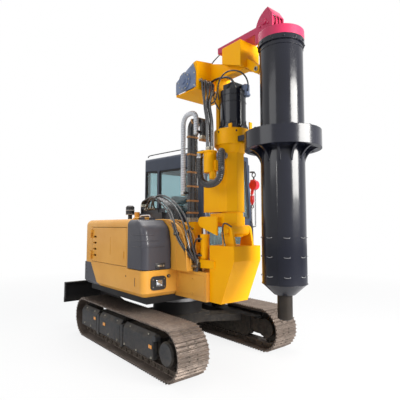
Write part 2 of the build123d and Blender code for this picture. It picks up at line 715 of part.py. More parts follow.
def dozer_blade():
    """The blade: a curved face, end plates, cutting edge, two arms and the ram's ears."""
    back = BLADE_FACE_X + BLADE_THICKNESS
    middle_z = (BLADE_BOTTOM + BLADE_TOP) / 2
    outline = make_face([
        *ThreePointArc((BLADE_FACE_X, BLADE_BOTTOM), (BLADE_FACE_X + BLADE_BULGE, middle_z),
                       (BLADE_FACE_X, BLADE_TOP)).edges(),
        Edge.make_line((BLADE_FACE_X, BLADE_TOP), (back, BLADE_TOP)),
        *ThreePointArc((back, BLADE_TOP), (back + BLADE_BULGE, middle_z), (back, BLADE_BOTTOM)).edges(),
        Edge.make_line((back, BLADE_BOTTOM), (BLADE_FACE_X, BLADE_BOTTOM)),
    ])
    shape = side_slab(outline, -BLADE_HALF_WIDTH, BLADE_HALF_WIDTH)
    shape += cuboid(BLADE_FACE_X, back + 46, -BLADE_HALF_WIDTH, BLADE_HALF_WIDTH, BLADE_TOP - 22, BLADE_TOP)
    shape += cuboid(BLADE_FACE_X - 10, back, -BLADE_HALF_WIDTH, BLADE_HALF_WIDTH, BLADE_BOTTOM - 20,
                    BLADE_BOTTOM + 60)
    end_plate = poly((BLADE_FACE_X, BLADE_BOTTOM), (back + 46, BLADE_BOTTOM + 60), (back + 46, BLADE_TOP),
                     (BLADE_FACE_X, BLADE_TOP))
    shape += side_slab(end_plate, -BLADE_HALF_WIDTH, -BLADE_HALF_WIDTH + 18)
    shape += side_slab(end_plate, BLADE_HALF_WIDTH - 18, BLADE_HALF_WIDTH)
    for side in (-1, 1):
        near = side * BLADE_ARM_Y
        far = near + side * BLADE_ARM_THICKNESS
        y0, y1 = min(near, far), max(near, far)
        arm = poly((BLADE_PIVOT_X, BLADE_PIVOT_Z + BLADE_EYE), (BLADE_PIVOT_X, BLADE_PIVOT_Z - BLADE_EYE),
                   (back + 10, middle_z - 90), (back + 10, middle_z + 90))
        shape += side_slab(arm, y0, y1) + round_y(BLADE_EYE, BLADE_PIVOT_X, BLADE_PIVOT_Z, y0, y1)
        shape -= round_y(BLADE_PIN + PIN_FIT, BLADE_PIVOT_X, BLADE_PIVOT_Z, y0 - 1, y1 + 1)
    shape += ram_ears(BLADE_RAM_TIP, 0, (back + 18, middle_z - 65), (back + 18, middle_z + 65),
                      BLADE_RAM_PIN)
    return shape


def ring(lower):
    """One race of the slewing ring."""
    z0 = TURRET_TOP if lower else RING_SPLIT + SEAT
    z1 = RING_SPLIT if lower else DECK_BOTTOM
    radius = RING_RADIUS if lower else RING_RADIUS - 12
    return round_z(radius, 0, 0, z0, z1) - round_z(RING_BORE, 0, 0, z0 - 1, z1 + 1)


def upper_plan(front, half_width, tail, corner):
    """The upper structure seen from above: straight sides and a round tail."""
    block = poly((-tail, -half_width), (front, -half_width), (front, half_width), (-tail, half_width))
    plan = block & Circle(tail)
    corners = [v for v in plan.vertices() if v.X > 0]
    plan = fillet(corners, SKIRT_CORNER) if corner else plan
    return plan


def revolving_frame():
    """The deck plate on the slewing ring and the two webs that run to the front frame."""
    deck = flat_slab(upper_plan(NOSE_FRAME_REAR, DECK_HALF_WIDTH, DECK_TAIL_RADIUS, False),
                     DECK_BOTTOM, DECK_TOP)
    for y in WEB_PLACES:
        deck += cuboid(WEB_REAR, NOSE_FRAME_REAR, y, y + WEB_THICKNESS, DECK_TOP, DECK_TOP + WEB_HEIGHT)
    return deck


def split_line(ahead):
    """Everything ahead of, or behind, the slanted joint between the skirts and the counterweight."""
    far = 2 * TAIL_RADIUS if ahead else -2 * TAIL_RADIUS
    gap = 0 if ahead else -SEAT
    outline = poly((SPLIT_LOW + gap, DECK_TOP), (far, DECK_TOP), (far, SKIRT_TOP), (SPLIT_HIGH + gap, SKIRT_TOP))
    return side_slab(outline, -TAIL_RADIUS, TAIL_RADIUS)


def skirts():
    """The yellow lower body on the right and the low sill under the cab on the left."""
    plan = upper_plan(UPPER_FRONT, UPPER_HALF_WIDTH, TAIL_RADIUS, True)
    far = 2 * TAIL_RADIUS
    right = plan & poly((-far, -far), (far, -far), (far, NOSE_FRAME_RIGHT), (-far, NOSE_FRAME_RIGHT))
    left = plan & poly((-far, CAB_RIGHT), (far, CAB_RIGHT), (far, far), (-far, far))
    solids = []
    for region, top in ((right, SKIRT_TOP), (left, CAB_FLOOR)):
        block = flat_slab(region, DECK_TOP, top) & split_line(True)
        low = block.edges().filter_by_position(Axis.Z, DECK_TOP - 0.1, DECK_TOP + 0.1)
        outer = [e for e in low if abs(e.center().Y) > UPPER_HALF_WIDTH - 60 or e.center().X > UPPER_FRONT - 60]
        solids.append(chamfer(outer, SKIRT_BEVEL))
    return Compound(children=solids)


def counterweight():
    """The cast weight round the tail."""
    plan = upper_plan(UPPER_FRONT, UPPER_HALF_WIDTH, TAIL_RADIUS, False)
    block = flat_slab(plan, DECK_TOP, SKIRT_TOP) & split_line(False)
    block -= cuboid(BEHIND_CAB, SPLIT_LOW + 5, CAB_RIGHT - CLEAR, TAIL_RADIUS, CAB_FLOOR, SKIRT_TOP + 5)
    edges = [e for e in block.edges().filter_by_position(Axis.Z, DECK_TOP - 0.1, DECK_TOP + 0.1)
             if e.center().X < SPLIT_LOW - 20]
    return chamfer(edges, SKIRT_BEVEL)


def hood_plan():
    """The hood from above: over the engine on the right and across the tail behind the cab."""
    plan = upper_plan(UPPER_FRONT, UPPER_HALF_WIDTH, TAIL_RADIUS, False)
    right = poly((-2000, -2000), (HOOD_FRONT, -2000), (HOOD_FRONT, HOOD_INNER), (-2000, HOOD_INNER))
    tail = poly((-2000, -2000), (BEHIND_CAB, -2000), (BEHIND_CAB, 2000), (-2000, 2000))
    region = plan & (right + tail)
    corners = [v for v in region.vertices() if abs(v.X - TAIL_CORNER_X) < 5 and abs(abs(v.Y) - UPPER_HALF_WIDTH) < 5]
    return fillet(corners, HOOD_CORNER)


def slots(x0, y0, y1):
    """A column of louvre slots cut through a side panel."""
    cut = None
    for i in range(SLOT_COUNT):
        z = SLOT_FIRST_Z + i * SLOT_PITCH
        slot = Pos(x0 + SLOT_LENGTH / 2, z) * SlotOverall(SLOT_LENGTH, SLOT_HEIGHT)
        hole = side_slab(slot, y0, y1)
        cut = hole if cut is None else cut + hole
    return cut


def tail_slots():
    """A column of shorter slots through the curved tail."""
    cut = None
    for i in range(SLOT_COUNT):
        slot = Pos(0, SLOT_FIRST_Z + i * SLOT_PITCH) * SlotOverall(TAIL_SLOT_LENGTH, SLOT_HEIGHT)
        hole = front_slab(slot, TAIL_RADIUS - 3 * HOOD_WALL, TAIL_RADIUS + HOOD_WALL)
        cut = hole if cut is None else cut + hole
    return Rot(0, 0, TAIL_SLOT_BEARING) * cut


def hood():
    """The engine hood: a shell open below, with the side opening and its rear louvres."""
    plan = hood_plan()
    shell = flat_slab(plan, SKIRT_TOP, HOOD_TOP)
    top = [e for e in shell.edges().filter_by_position(Axis.Z, HOOD_TOP - 0.1, HOOD_TOP + 0.1)
           if e.center().Y < HOOD_INNER - 200 and e.center().X < HOOD_FRONT - 20 or
           e.center().X < BEHIND_CAB - 100]
    shell = fillet(top, HOOD_ROUND)
    inner = flat_slab(offset(plan, -HOOD_WALL), SKIRT_TOP - 1, HOOD_TOP - HOOD_WALL)
    inner_top = [e for e in inner.edges().filter_by_position(Axis.Z, HOOD_TOP - HOOD_WALL - 0.1,
                                                             HOOD_TOP - HOOD_WALL + 0.1)
                 if e.center().Y < HOOD_INNER - 200 and e.center().X < HOOD_FRONT - 60 or
                 e.center().X < BEHIND_CAB - 100]
    inner = fillet(inner_top, HOOD_ROUND - HOOD_WALL)
    shell -= inner
    outside = -UPPER_HALF_WIDTH
    shell -= cuboid(SIDE_COVER_REAR - CLEAR, SIDE_COVER_FRONT + CLEAR, outside - 5, outside + HOOD_WALL + 5,
                    SIDE_COVER_BOTTOM - CLEAR, SIDE_COVER_TOP + CLEAR)
    shell -= tail_slots()
    for z in side_hinge_heights():
        shell += hinge_bracket_z(SIDE_COVER_REAR - CLEAR, outside, z, -1, False)
    return shell


def side_hinge_heights():
    """Heights of the side cover's two hinges."""
    return (SIDE_COVER_BOTTOM + 90, SIDE_COVER_TOP - 90)


def hinge_bracket_z(x, face_y, z, side, moving):
    """Half of a vertical hinge beside a panel edge: an arm with a knuckle, and on the fixed half a pin."""
    axis_x = x + CLEAR / 2
    axis_y = face_y + side * SIDE_HINGE_OFFSET
    near, far = min(face_y, axis_y), max(face_y, axis_y)
    if moving:
        arm = cuboid(axis_x - 4, axis_x + 20, near, far, z + 1, z + HINGE_KNUCKLE)
        barrel = round_z(HINGE_RADIUS, axis_x, axis_y, z + 1, z + HINGE_KNUCKLE)
        bore = round_z(HINGE_PIN + PIN_FIT, axis_x, axis_y, z - HINGE_KNUCKLE, z + HINGE_KNUCKLE + 5)
        return arm + barrel - bore
    arm = cuboid(axis_x - 20, axis_x + 4, near, far, z - HINGE_KNUCKLE, z)
    barrel = round_z(HINGE_RADIUS, axis_x, axis_y, z - HINGE_KNUCKLE, z)
    pin = round_z(HINGE_PIN, axis_x, axis_y, z - HINGE_KNUCKLE, z + HINGE_KNUCKLE - 5)
    return arm + barrel + pin


def side_cover():
    """The louvred service door in the hood's side."""
    outside = -UPPER_HALF_WIDTH
    door = cuboid(SIDE_COVER_REAR, SIDE_COVER_FRONT, outside, outside + HOOD_WALL,
                  SIDE_COVER_BOTTOM, SIDE_COVER_TOP)
    door -= slots(SIDE_COVER_REAR + 40, outside - 5, outside + HOOD_WALL + 5)
    for z in side_hinge_heights():
        door += hinge_bracket_z(SIDE_COVER_REAR - CLEAR, outside, z, -1, True)
    return door


def nose_profile(rear, bottom):
    """Side view of the nose cover, from a rear edge and a bottom edge to its sloping brow."""
    outline = poly((rear, bottom), (NOSE_FRONT, bottom), (NOSE_FRONT, NOSE_BROW_Z), NOSE_BROW,
                   (NOSE_SHOULDER_X, NOSE_TOP), (rear, NOSE_TOP))
    bends = [v for v in outline.vertices() if v.X > NOSE_SHOULDER_X - 1 and v.Y > NOSE_BROW_Z - 1]
    return fillet(bends, NOSE_BEND)


def rounded_side(block, rear, bottom, radius):
    """Round the outer side edge of a nose block, clear of its rear and bottom edges."""
    edges = [e for e in block.faces().sort_by(Axis.Y)[0].edges()
             if e.center().Z > bottom + 5 and e.center().X > rear + 5]
    return fillet(edges, radius)


def nose_cover():
    """The dark front corner cover, a domed shell hinged along its rear top edge."""
    outside = -UPPER_HALF_WIDTH - NOSE_PROUD
    rear = HOOD_FRONT + NOSE_GAP
    dome = side_slab(nose_profile(rear, NOSE_BOTTOM), outside, NOSE_INNER)
    dome = rounded_side(dome, rear, NOSE_BOTTOM, NOSE_ROUND)
    open_rear = rear - 2 * NOSE_WALL
    open_bottom = NOSE_BOTTOM - 2 * NOSE_WALL
    inside = offset(nose_profile(open_rear, open_bottom), -NOSE_WALL)
    hollow = side_slab(inside, outside + NOSE_WALL, NOSE_INNER + 5)
    hollow = rounded_side(hollow, open_rear + NOSE_WALL, open_bottom + NOSE_WALL, NOSE_ROUND - NOSE_WALL)
    shell = dome - hollow
    for y in nose_hinge_places():
        shell += round_y(HINGE_RADIUS, HOOD_FRONT, NOSE_HINGE_Z, y + 1, y + HINGE_KNUCKLE)
        shell += cuboid(HOOD_FRONT, HOOD_FRONT + NOSE_GAP + 40, y + 1, y + HINGE_KNUCKLE, NOSE_TOP - 4,
                        NOSE_HINGE_Z)
        shell -= round_y(HINGE_PIN + PIN_FIT, HOOD_FRONT, NOSE_HINGE_Z, y - 5, y + HINGE_KNUCKLE + 5)
    return shell


def nose_hinge_places():
    """Where the nose cover's two hinges sit across the hood."""
    return (-UPPER_HALF_WIDTH + 150, NOSE_INNER - 70)


def nose_hinge_pins():
    """Hinge halves that stay on the hood's front edge."""
    shape = None
    for y in nose_hinge_places():
        barrel = round_y(HINGE_RADIUS, HOOD_FRONT, NOSE_HINGE_Z, y - HINGE_KNUCKLE, y)
        foot = cuboid(HOOD_FRONT - 40, HOOD_FRONT, y - HINGE_KNUCKLE, y, HOOD_TOP, NOSE_HINGE_Z)
        pin = round_y(HINGE_PIN, HOOD_FRONT, NOSE_HINGE_Z, y - HINGE_KNUCKLE, y + HINGE_KNUCKLE - 5)
        half = barrel + foot + pin
        shape = half if shape is None else shape + half
    return shape


def fuel_tank():
    """The tank under the nose cover."""
    x0 = HOOD_FRONT + NOSE_GAP + 20
    block = cuboid(x0, x0 + TANK_LENGTH, -UPPER_HALF_WIDTH + 40, NOSE_INNER - 30,
                   SKIRT_TOP, SKIRT_TOP + TANK_HEIGHT)
    block = fillet(block.edges().filter_by(Axis.Z), TANK_EDGE)
    return block + round_z(FILLER_RADIUS, x0 + 90, -UPPER_HALF_WIDTH + 160, SKIRT_TOP + TANK_HEIGHT,
                           SKIRT_TOP + TANK_HEIGHT + 40)


def front_fender():
    """The curved yellow tank fairing inboard of the nose cover."""
    rear = HOOD_FRONT + NOSE_GAP
    outline = make_face([
        Edge.make_line((rear, SKIRT_TOP), (FENDER_FRONT, SKIRT_TOP)),
        Edge.make_line((FENDER_FRONT, SKIRT_TOP), (FENDER_FRONT, SKIRT_TOP + FENDER_FOOT)),
        *ThreePointArc((FENDER_FRONT, SKIRT_TOP + FENDER_FOOT), FENDER_BULGE, (FENDER_CREST_X, NOSE_TOP)).edges(),
        Edge.make_line((FENDER_CREST_X, NOSE_TOP), (rear, NOSE_TOP)),
        Edge.make_line((rear, NOSE_TOP), (rear, SKIRT_TOP)),
    ])
    return side_slab(outline, FENDER_OUTER, FENDER_INNER)


def engine():
    """The engine as one plain block under the hood."""
    rear = ENGINE_CENTRE_X - ENGINE_LENGTH / 2
    outer = -UPPER_HALF_WIDTH + HOOD_WALL + ENGINE_SIDE_GAP
    inner = HOOD_INNER - HOOD_WALL - ENGINE_INNER_GAP
    return cuboid(rear, rear + ENGINE_LENGTH, outer, inner, SKIRT_TOP, SKIRT_TOP + ENGINE_HEIGHT)


def cab_profile(inset, floor_inset):
    """Side view of the cab: raked windscreen and a roof that falls to the front."""
    return poly((CAB_REAR + inset, CAB_FLOOR + floor_inset), (CAB_FRONT - inset, CAB_FLOOR + floor_inset),
                (CAB_FRONT - inset, CAB_BROW_Z), (CAB_FRONT - CAB_RAKE - inset, CAB_FRONT_HEIGHT - inset),
                (CAB_REAR + inset + 12, CAB_REAR_HEIGHT - inset), (CAB_REAR + inset, CAB_BROW_Z))


def cab_windows(grow, depth):
    """Solids that fill each fixed window, grown and thickened as asked."""
    panes = []
    wall = CAB_WALL
    pad = (depth - wall) / 2
    front_low = fillet(poly((CAB_RIGHT + 80, 1180), (CAB_LEFT - 80, 1180), (CAB_LEFT - 80, 1620),
                            (CAB_RIGHT + 80, 1620)).vertices(), 25)
    panes.append(("front low", front_slab(offset(front_low, grow), CAB_FRONT - wall - pad, CAB_FRONT + pad)))
    rise = CAB_FRONT_HEIGHT - CAB_BROW_Z
    lean = math.degrees(math.atan2(CAB_RAKE, rise))
    high = fillet(Rectangle(CAB_LEFT - CAB_RIGHT - 160, rise - 130).vertices(), 35)
    slab = extrude(offset(high, grow), amount=depth / 2, both=True)
    place = Pos(CAB_FRONT - CAB_RAKE / 2 - wall / 2, (CAB_LEFT + CAB_RIGHT) / 2, (CAB_BROW_Z + CAB_FRONT_HEIGHT) / 2)
    panes.append(("front high", place * Rot(0, -lean, 0) * Plane.YZ.location * slab))
    rear_side = fillet(poly((-850, 1800), (-505, 1800), (-505, 2470), (-850, 2500)).vertices(), 30)
    panes.append(("right rear", side_slab(offset(rear_side, grow), CAB_RIGHT - pad, CAB_RIGHT + wall + pad)))
    front_side = fillet(poly((-455, 1800), (500, 1760), (470, 2430), (-455, 2468)).vertices(), 30)
    panes.append(("right front", side_slab(offset(front_side, grow), CAB_RIGHT - pad, CAB_RIGHT + wall + pad)))
    left_side = fillet(poly((-850, 1650), (-320, 1650), (-320, 2490), (-850, 2500)).vertices(), 30)
    panes.append(("left rear", side_slab(offset(left_side, grow), CAB_LEFT - wall - pad, CAB_LEFT + pad)))
    back = fillet(poly((CAB_RIGHT + 90, 1800), (CAB_LEFT - 90, 1800), (CAB_LEFT - 90, 2520),
                       (CAB_RIGHT + 90, 2520)).vertices(), 35)
    panes.append(("rear", front_slab(offset(back, grow), CAB_REAR - pad, CAB_REAR + wall + pad)))
    return panes


def cab_shell():
    """The cab: a hollow welded shell with its windows and doorway cut."""
    shell = side_slab(cab_profile(0, 0), CAB_RIGHT, CAB_LEFT)
    upright = [e for e in shell.edges() if e.center().Z > CAB_FLOOR + 50 and
               (abs(e.center().Y - CAB_RIGHT) < 1 or abs(e.center().Y - CAB_LEFT) < 1)]
    shell = fillet(upright, CAB_ROUND)
    shell -= side_slab(cab_profile(CAB_WALL, CAB_WALL), CAB_RIGHT + CAB_WALL, CAB_LEFT - CAB_WALL)
    for name, hole in cab_windows(0, CAB_WALL * 3):
        shell -= hole
    shell -= cuboid(DOOR_REAR - CLEAR, DOOR_FRONT + CLEAR, CAB_LEFT - CAB_WALL * 2, CAB_LEFT + 5,
                    DOOR_BOTTOM - CLEAR, DOOR_TOP + CLEAR)
    for z in door_hinge_heights():
        shell += hinge_bracket_z(DOOR_REAR - CLEAR, CAB_LEFT, z, 1, False)
    return shell


def door_hinge_heights():
    """Heights of the cab door's hinges."""
    return (DOOR_BOTTOM + DOOR_HINGE_LOW, DOOR_TOP - DOOR_HINGE_HIGH)


def cab_glass():
    """Fixed panes, each filling its own opening in the shell."""
    panes = [pane for name, pane in cab_windows(-SEAT, GLASS)]
    return Compound(children=panes)


def door_outline(inset):
    """Side view of the cab door."""
    outline = poly((DOOR_REAR + inset, DOOR_BOTTOM + inset), (DOOR_FRONT - inset, DOOR_BOTTOM + inset),
                   (DOOR_FRONT - inset, DOOR_TOP - inset), (DOOR_REAR + inset, DOOR_TOP - inset))
    return fillet(outline.vertices(), 30)


def door_window():
    """The door's window outline."""
    z0 = DOOR_BOTTOM + DOOR_WAIST
    outline = poly((DOOR_REAR + DOOR_FRAME, z0), (DOOR_FRONT - DOOR_FRAME, z0),
                   (DOOR_FRONT - DOOR_FRAME, DOOR_TOP - DOOR_FRAME), (DOOR_REAR + DOOR_FRAME, DOOR_TOP - DOOR_FRAME))
    return fillet(outline.vertices(), 30)


def cab_door():
    """The cab door's frame, hinged at its rear edge."""
    door = side_slab(door_outline(0), CAB_LEFT - CAB_WALL, CAB_LEFT)
    door -= side_slab(door_window(), CAB_LEFT - CAB_WALL * 2, CAB_LEFT + 5)
    for z in door_hinge_heights():
        door += hinge_bracket_z(DOOR_REAR - CLEAR, CAB_LEFT, z, 1, True)
    handle = cuboid(DOOR_FRONT - 55, DOOR_FRONT - 25, CAB_LEFT, CAB_LEFT + 28, DOOR_BOTTOM + 300, DOOR_BOTTOM + 430)
    return door + fillet(handle.edges().filter_by(Axis.Z), 8)


def cab_door_glass():
    """The pane in the door."""
    y = CAB_LEFT - CAB_WALL / 2
    return side_slab(offset(door_window(), -SEAT), y - GLASS / 2, y + GLASS / 2)


def seat():
    """Operator's seat: pedestal, cushion and backrest."""
    x, y = SEAT_X, (CAB_LEFT + CAB_RIGHT) / 2
    floor = CAB_FLOOR + CAB_WALL
    low, high = floor + SEAT_RISE, floor + SEAT_BACK_RISE
    pedestal = cuboid(x - 170, x + 170, y - 170, y + 170, floor, low)
    cushion = cuboid(x - SEAT_HALF, x + SEAT_HALF, y - SEAT_HALF, y + SEAT_HALF, low, low + 110)
    cushion = fillet(cushion.edges().filter_by(Axis.Z), 60)
    back = side_slab(poly((x - 250, low + 100), (x - 140, low + 100), (x - 230, high), (x - 320, high)),
                     y - SEAT_HALF + 15, y + SEAT_HALF - 15)
    return pedestal + cushion + back


def cab_controls():
    """Side consoles with levers, the travel levers and the floor pedals' pod."""
    floor = CAB_FLOOR + CAB_WALL
    y = (CAB_LEFT + CAB_RIGHT) / 2
    solids = []
    for side in (-1, 1):
        middle = y + side * CONSOLE_OFFSET
        console = cuboid(*CONSOLE_SPAN, middle - 62, middle + 62, floor, floor + CONSOLE_RISE)
        console += round_z(9, 0, middle, floor + CONSOLE_RISE, floor + LEVER_RISE)
        console += Pos(0, middle, floor + LEVER_RISE + 10) * Sphere(26)
        solids.append(console)
    pod = cuboid(PEDAL_X - 35, PEDAL_X + 35, y - 120, y + 120, floor, floor + 60)
    for side in (-1, 1):
        pod += round_z(11, PEDAL_X, y + side * 70, floor + 60, floor + PEDAL_LEVER_RISE)
    solids.append(pod)
    return Compound(children=solids)


def headlamp():
    """The work lamp in the front right corner of the lower body."""
    x = UPPER_FRONT
    y, z = -UPPER_HALF_WIDTH + LAMP_FROM_SIDE, LAMP_Z
    bezel = front_slab(Pos(y, z) * RectangleRounded(*LAMP_SIZE, LAMP_EDGE), x, x + LAMP_DEPTH)
    front = x + LAMP_DEPTH
    lens = front_slab(Pos(y, z) * RectangleRounded(*LENS_SIZE, LENS_EDGE), front, front + LENS_DEPTH)
    right, up = BUTTON_FROM_LAMP
    button = front_slab(Pos(y + right, z + up) * Circle(BUTTON_RADIUS), x, front)
    return Compound(children=[bezel + lens, button])


def air_precleaner():
    """The intake mushroom and the exhaust stub on the hood."""
    x, y = -505, -500
    shape = round_z(30, x, y, HOOD_TOP, HOOD_TOP + 75)
    shape += round_z(62, x, y, HOOD_TOP + 75, HOOD_TOP + 190)
    shape += Pos(x, y, HOOD_TOP + 200) * Cone(62, 40, 20)
    return shape


def exhaust():
    """The short exhaust stub on the hood."""
    return round_z(38, -300, -500, HOOD_TOP, HOOD_TOP + 110)


def nose_frame():
    """The welded box that carries the mast ahead of the upper structure."""
    box = cuboid(NOSE_FRAME_REAR, NOSE_FRAME_FRONT, NOSE_FRAME_RIGHT, NOSE_FRAME_LEFT,
                 NOSE_FRAME_BOTTOM, SKIRT_TOP)
    box -= cuboid(NOSE_FRAME_REAR - 5, CAB_FRONT + CLEAR, CAB_RIGHT - CLEAR, NOSE_FRAME_LEFT + 5,
                  CAB_FLOOR - CLEAR, SKIRT_TOP + 5)
    box -= cuboid(NOSE_FRAME_REAR - 5, UPPER_FRONT, CAB_RIGHT, NOSE_FRAME_LEFT + 5, DECK_TOP, CAB_FLOOR)
    panel = Pos(*NOSE_PANEL) * RectangleRounded(*NOSE_PANEL_SIZE, 22)
    box += side_slab(panel, NOSE_FRAME_RIGHT - 6, NOSE_FRAME_RIGHT)
    shaft_reach = TILT_RAM_OFFSET + TILT_EYE_WIDTH / 2 + CLEAR
    block = TILT_RAM_OFFSET - TILT_EYE_WIDTH / 2 - CLEAR
    box += cuboid(TILT_RAM_X - TILT_BOSS, TILT_RAM_X + TILT_BOSS, MAST_Y - block, MAST_Y + block,
                  SKIRT_TOP, TILT_RAM_BASE_Z)
    box += round_y(TILT_BOSS, TILT_RAM_X, TILT_RAM_BASE_Z, MAST_Y - block, MAST_Y + block)
    box += round_y(TILT_SHAFT, TILT_RAM_X, TILT_RAM_BASE_Z, MAST_Y - shaft_reach, MAST_Y + shaft_reach)
    return box


def mast_base():
    """The bow-shaped box under the mast, with the two cheeks that hold its tilt pin."""
    outline = poly((NOSE_FRAME_FRONT, NOSE_FRAME_BOTTOM), (BASE_KEEL, NOSE_FRAME_BOTTOM),
                   (BASE_FRONT, BASE_LIP_BOTTOM), (BASE_FRONT, BASE_TOP), (NOSE_FRAME_FRONT, BASE_TOP))
    shape = side_slab(outline, MAST_Y - BASE_HALF_WIDTH, MAST_Y + BASE_HALF_WIDTH)
    inner = COLUMN_FLATS / 2 + CLEAR
    for side in (-1, 1):
        near = MAST_Y + side * inner
        far = near + side * CHEEK_LUG
        lug = make_hull([*(Pos(PIVOT_X, PIVOT_Z) * Circle(PIVOT_BOSS)).edges(),
                         Edge.make_line((PIVOT_X - LUG_FOOT, BASE_TOP), (PIVOT_X + LUG_FOOT, BASE_TOP))])
        shape += side_slab(lug, min(near, far), max(near, far))
        plate = make_hull([*(Pos(TILT_RAM_X, TILT_RAM_BASE_Z) * Circle(STAY_RISE + 10)).edges(),
                           Edge.make_line((STAY_FRONT, TILT_RAM_BASE_Z - STAY_RISE),
                                          (STAY_FRONT, TILT_RAM_BASE_Z + STAY_RISE))])
        shape += side_slab(plate, *elbow_span(side))
    reach = inner + CHEEK_LUG
    shape += round_y(PIVOT_PIN, PIVOT_X, PIVOT_Z, MAST_Y - reach - 14, MAST_Y + reach + 14)
    return shape


def elbow_span(side):
    """Across the machine, the plates that cover the outer ends of the tilt rams' pins."""
    near = MAST_Y + side * (TILT_RAM_OFFSET + TILT_EYE_WIDTH / 2 + CLEAR + SEAT)
    far = near + side * ELBOW_PLATE
    return min(near, far), max(near, far)


def mast_column():
    """The inner mast: octagonal column, shoulder block, pivot hub and the elbow plates over the rams."""
    shape = Pos(MAST_X, MAST_Y, 0) * flat_slab(octagon(COLUMN_FLATS), COLUMN_BOTTOM, COLUMN_TOP)
    half = SHOULDER_HALF_WIDTH
    front = MAST_X + COLUMN_FLATS / 2
    plan = poly((SHOULDER_REAR, MAST_Y - half), (front - SHOULDER_CHAMFER, MAST_Y - half),
                (front, MAST_Y - half + SHOULDER_CHAMFER), (front, MAST_Y + half - SHOULDER_CHAMFER),
                (front - SHOULDER_CHAMFER, MAST_Y + half), (SHOULDER_REAR, MAST_Y + half))
    shape += flat_slab(plan, SHOULDER_BOTTOM, SHOULDER_TOP)
    hub = COLUMN_FLATS / 2
    shape += round_y(PIVOT_BOSS, PIVOT_X, PIVOT_Z, MAST_Y - hub, MAST_Y + hub)
    shape -= round_y(PIVOT_PIN + PIN_FIT, PIVOT_X, PIVOT_Z, MAST_Y - hub - 20, MAST_Y + hub + 20)
    for side in (-1, 1):
        elbow = make_hull([*(Pos(TILT_RAM_X, ELBOW_TOP - ELBOW_BOSS) * Circle(ELBOW_BOSS)).edges(),
                           Edge.make_line((ELBOW_FRONT, ELBOW_DROP), (ELBOW_FRONT, ELBOW_TOP))])
        y0, y1 = elbow_span(side)
        shape += side_slab(elbow, y0, y1)
        wall = MAST_Y + side * (half - 10)
        inner = y0 + 10 if side > 0 else y1 - 10
        shape += cuboid(*ELBOW_SPACER, min(wall, inner), max(wall, inner), SHOULDER_BOTTOM + 10, ELBOW_TOP - 10)
    block = TILT_RAM_OFFSET - TILT_EYE_WIDTH / 2 - CLEAR
    shaft_reach = TILT_RAM_OFFSET + TILT_EYE_WIDTH / 2 + CLEAR
    shape += cuboid(TILT_RAM_X, SHOULDER_REAR + 10, MAST_Y - block, MAST_Y + block,
                    TILT_RAM_TIP_Z - TILT_BOSS, TILT_RAM_TIP_Z + TILT_BOSS)
    shape += round_y(TILT_BOSS, TILT_RAM_X, TILT_RAM_TIP_Z, MAST_Y - block, MAST_Y + block)
    shape += round_y(TILT_SHAFT, TILT_RAM_X, TILT_RAM_TIP_Z, MAST_Y - shaft_reach, MAST_Y + shaft_reach)
    return shape


def tilt_rams():
    """The pair of mast tilt rams, as barrels and as rods."""
    barrels = []
    rods = []
    for side in (-1, 1):
        barrel, rod = ram((TILT_RAM_X, TILT_RAM_BASE_Z), (TILT_RAM_X, TILT_RAM_TIP_Z),
                          MAST_Y + side * TILT_RAM_OFFSET, TILT_BARREL_RADIUS, TILT_ROD_RADIUS,
                          TILT_SHAFT, TILT_SHAFT, TILT_EYE_WIDTH, 0.72)
        barrels.append(barrel)
        rods.append(rod)
    return Compound(children=barrels), Compound(children=rods)


def mast_sleeve():
    """The outer mast: octagonal tube with the saddle box at its lower rear and a flared neck."""
    tube = Pos(MAST_X, MAST_Y, 0) * flat_slab(octagon(SLEEVE_FLATS), SLEEVE_BOTTOM, CAP_BOTTOM)
    half = SHOULDER_HALF_WIDTH
    saddle = poly((SADDLE_REAR, MAST_Y - half), (MAST_X - SADDLE_CHAMFER, MAST_Y - half),
                  (MAST_X, MAST_Y - SLEEVE_FLATS / 2), (MAST_X, MAST_Y + SLEEVE_FLATS / 2),
                  (MAST_X - SADDLE_CHAMFER, MAST_Y + half), (SADDLE_REAR, MAST_Y + half))
    tube += flat_slab(saddle, SLEEVE_BOTTOM, SADDLE_TOP)
    neck = Cone(SLEEVE_FLATS / 2 + 8, CAP_RADIUS - 14, NECK_HEIGHT)
    tube += Pos(MAST_X, MAST_Y, CAP_BOTTOM - NECK_HEIGHT / 2) * neck
    bore = flat_slab(octagon(COLUMN_FLATS + 2 * SEAT), SLEEVE_BOTTOM - 5, COLUMN_TOP + CLEAR)
    return tube - Pos(MAST_X, MAST_Y, 0) * bore


def mast_cap():
    """The round yellow housing on top of the mast."""
    cap = round_z(CAP_RADIUS, MAST_X, MAST_Y, CAP_BOTTOM, CAP_TOP)
    return chamfer(cap.edges().filter_by(GeomType.CIRCLE), 8)


def drive_motor():
    """The black drive unit standing on the cap."""
    body = round_z(DRIVE_MOTOR_RADIUS, DRIVE_MOTOR_X, MAST_Y, CAP_TOP, DRIVE_MOTOR_TOP)
    body += round_z(DRIVE_FLANGE, DRIVE_MOTOR_X, MAST_Y, CAP_TOP, CAP_TOP + DRIVE_FLANGE_HEIGHT)
    body += cuboid(DRIVE_MOTOR_X - 80, DRIVE_MOTOR_X + 80, MAST_Y - 80, MAST_Y + 80, DRIVE_MOTOR_TOP,
                   DRIVE_MOTOR_TOP + 90)
    return body


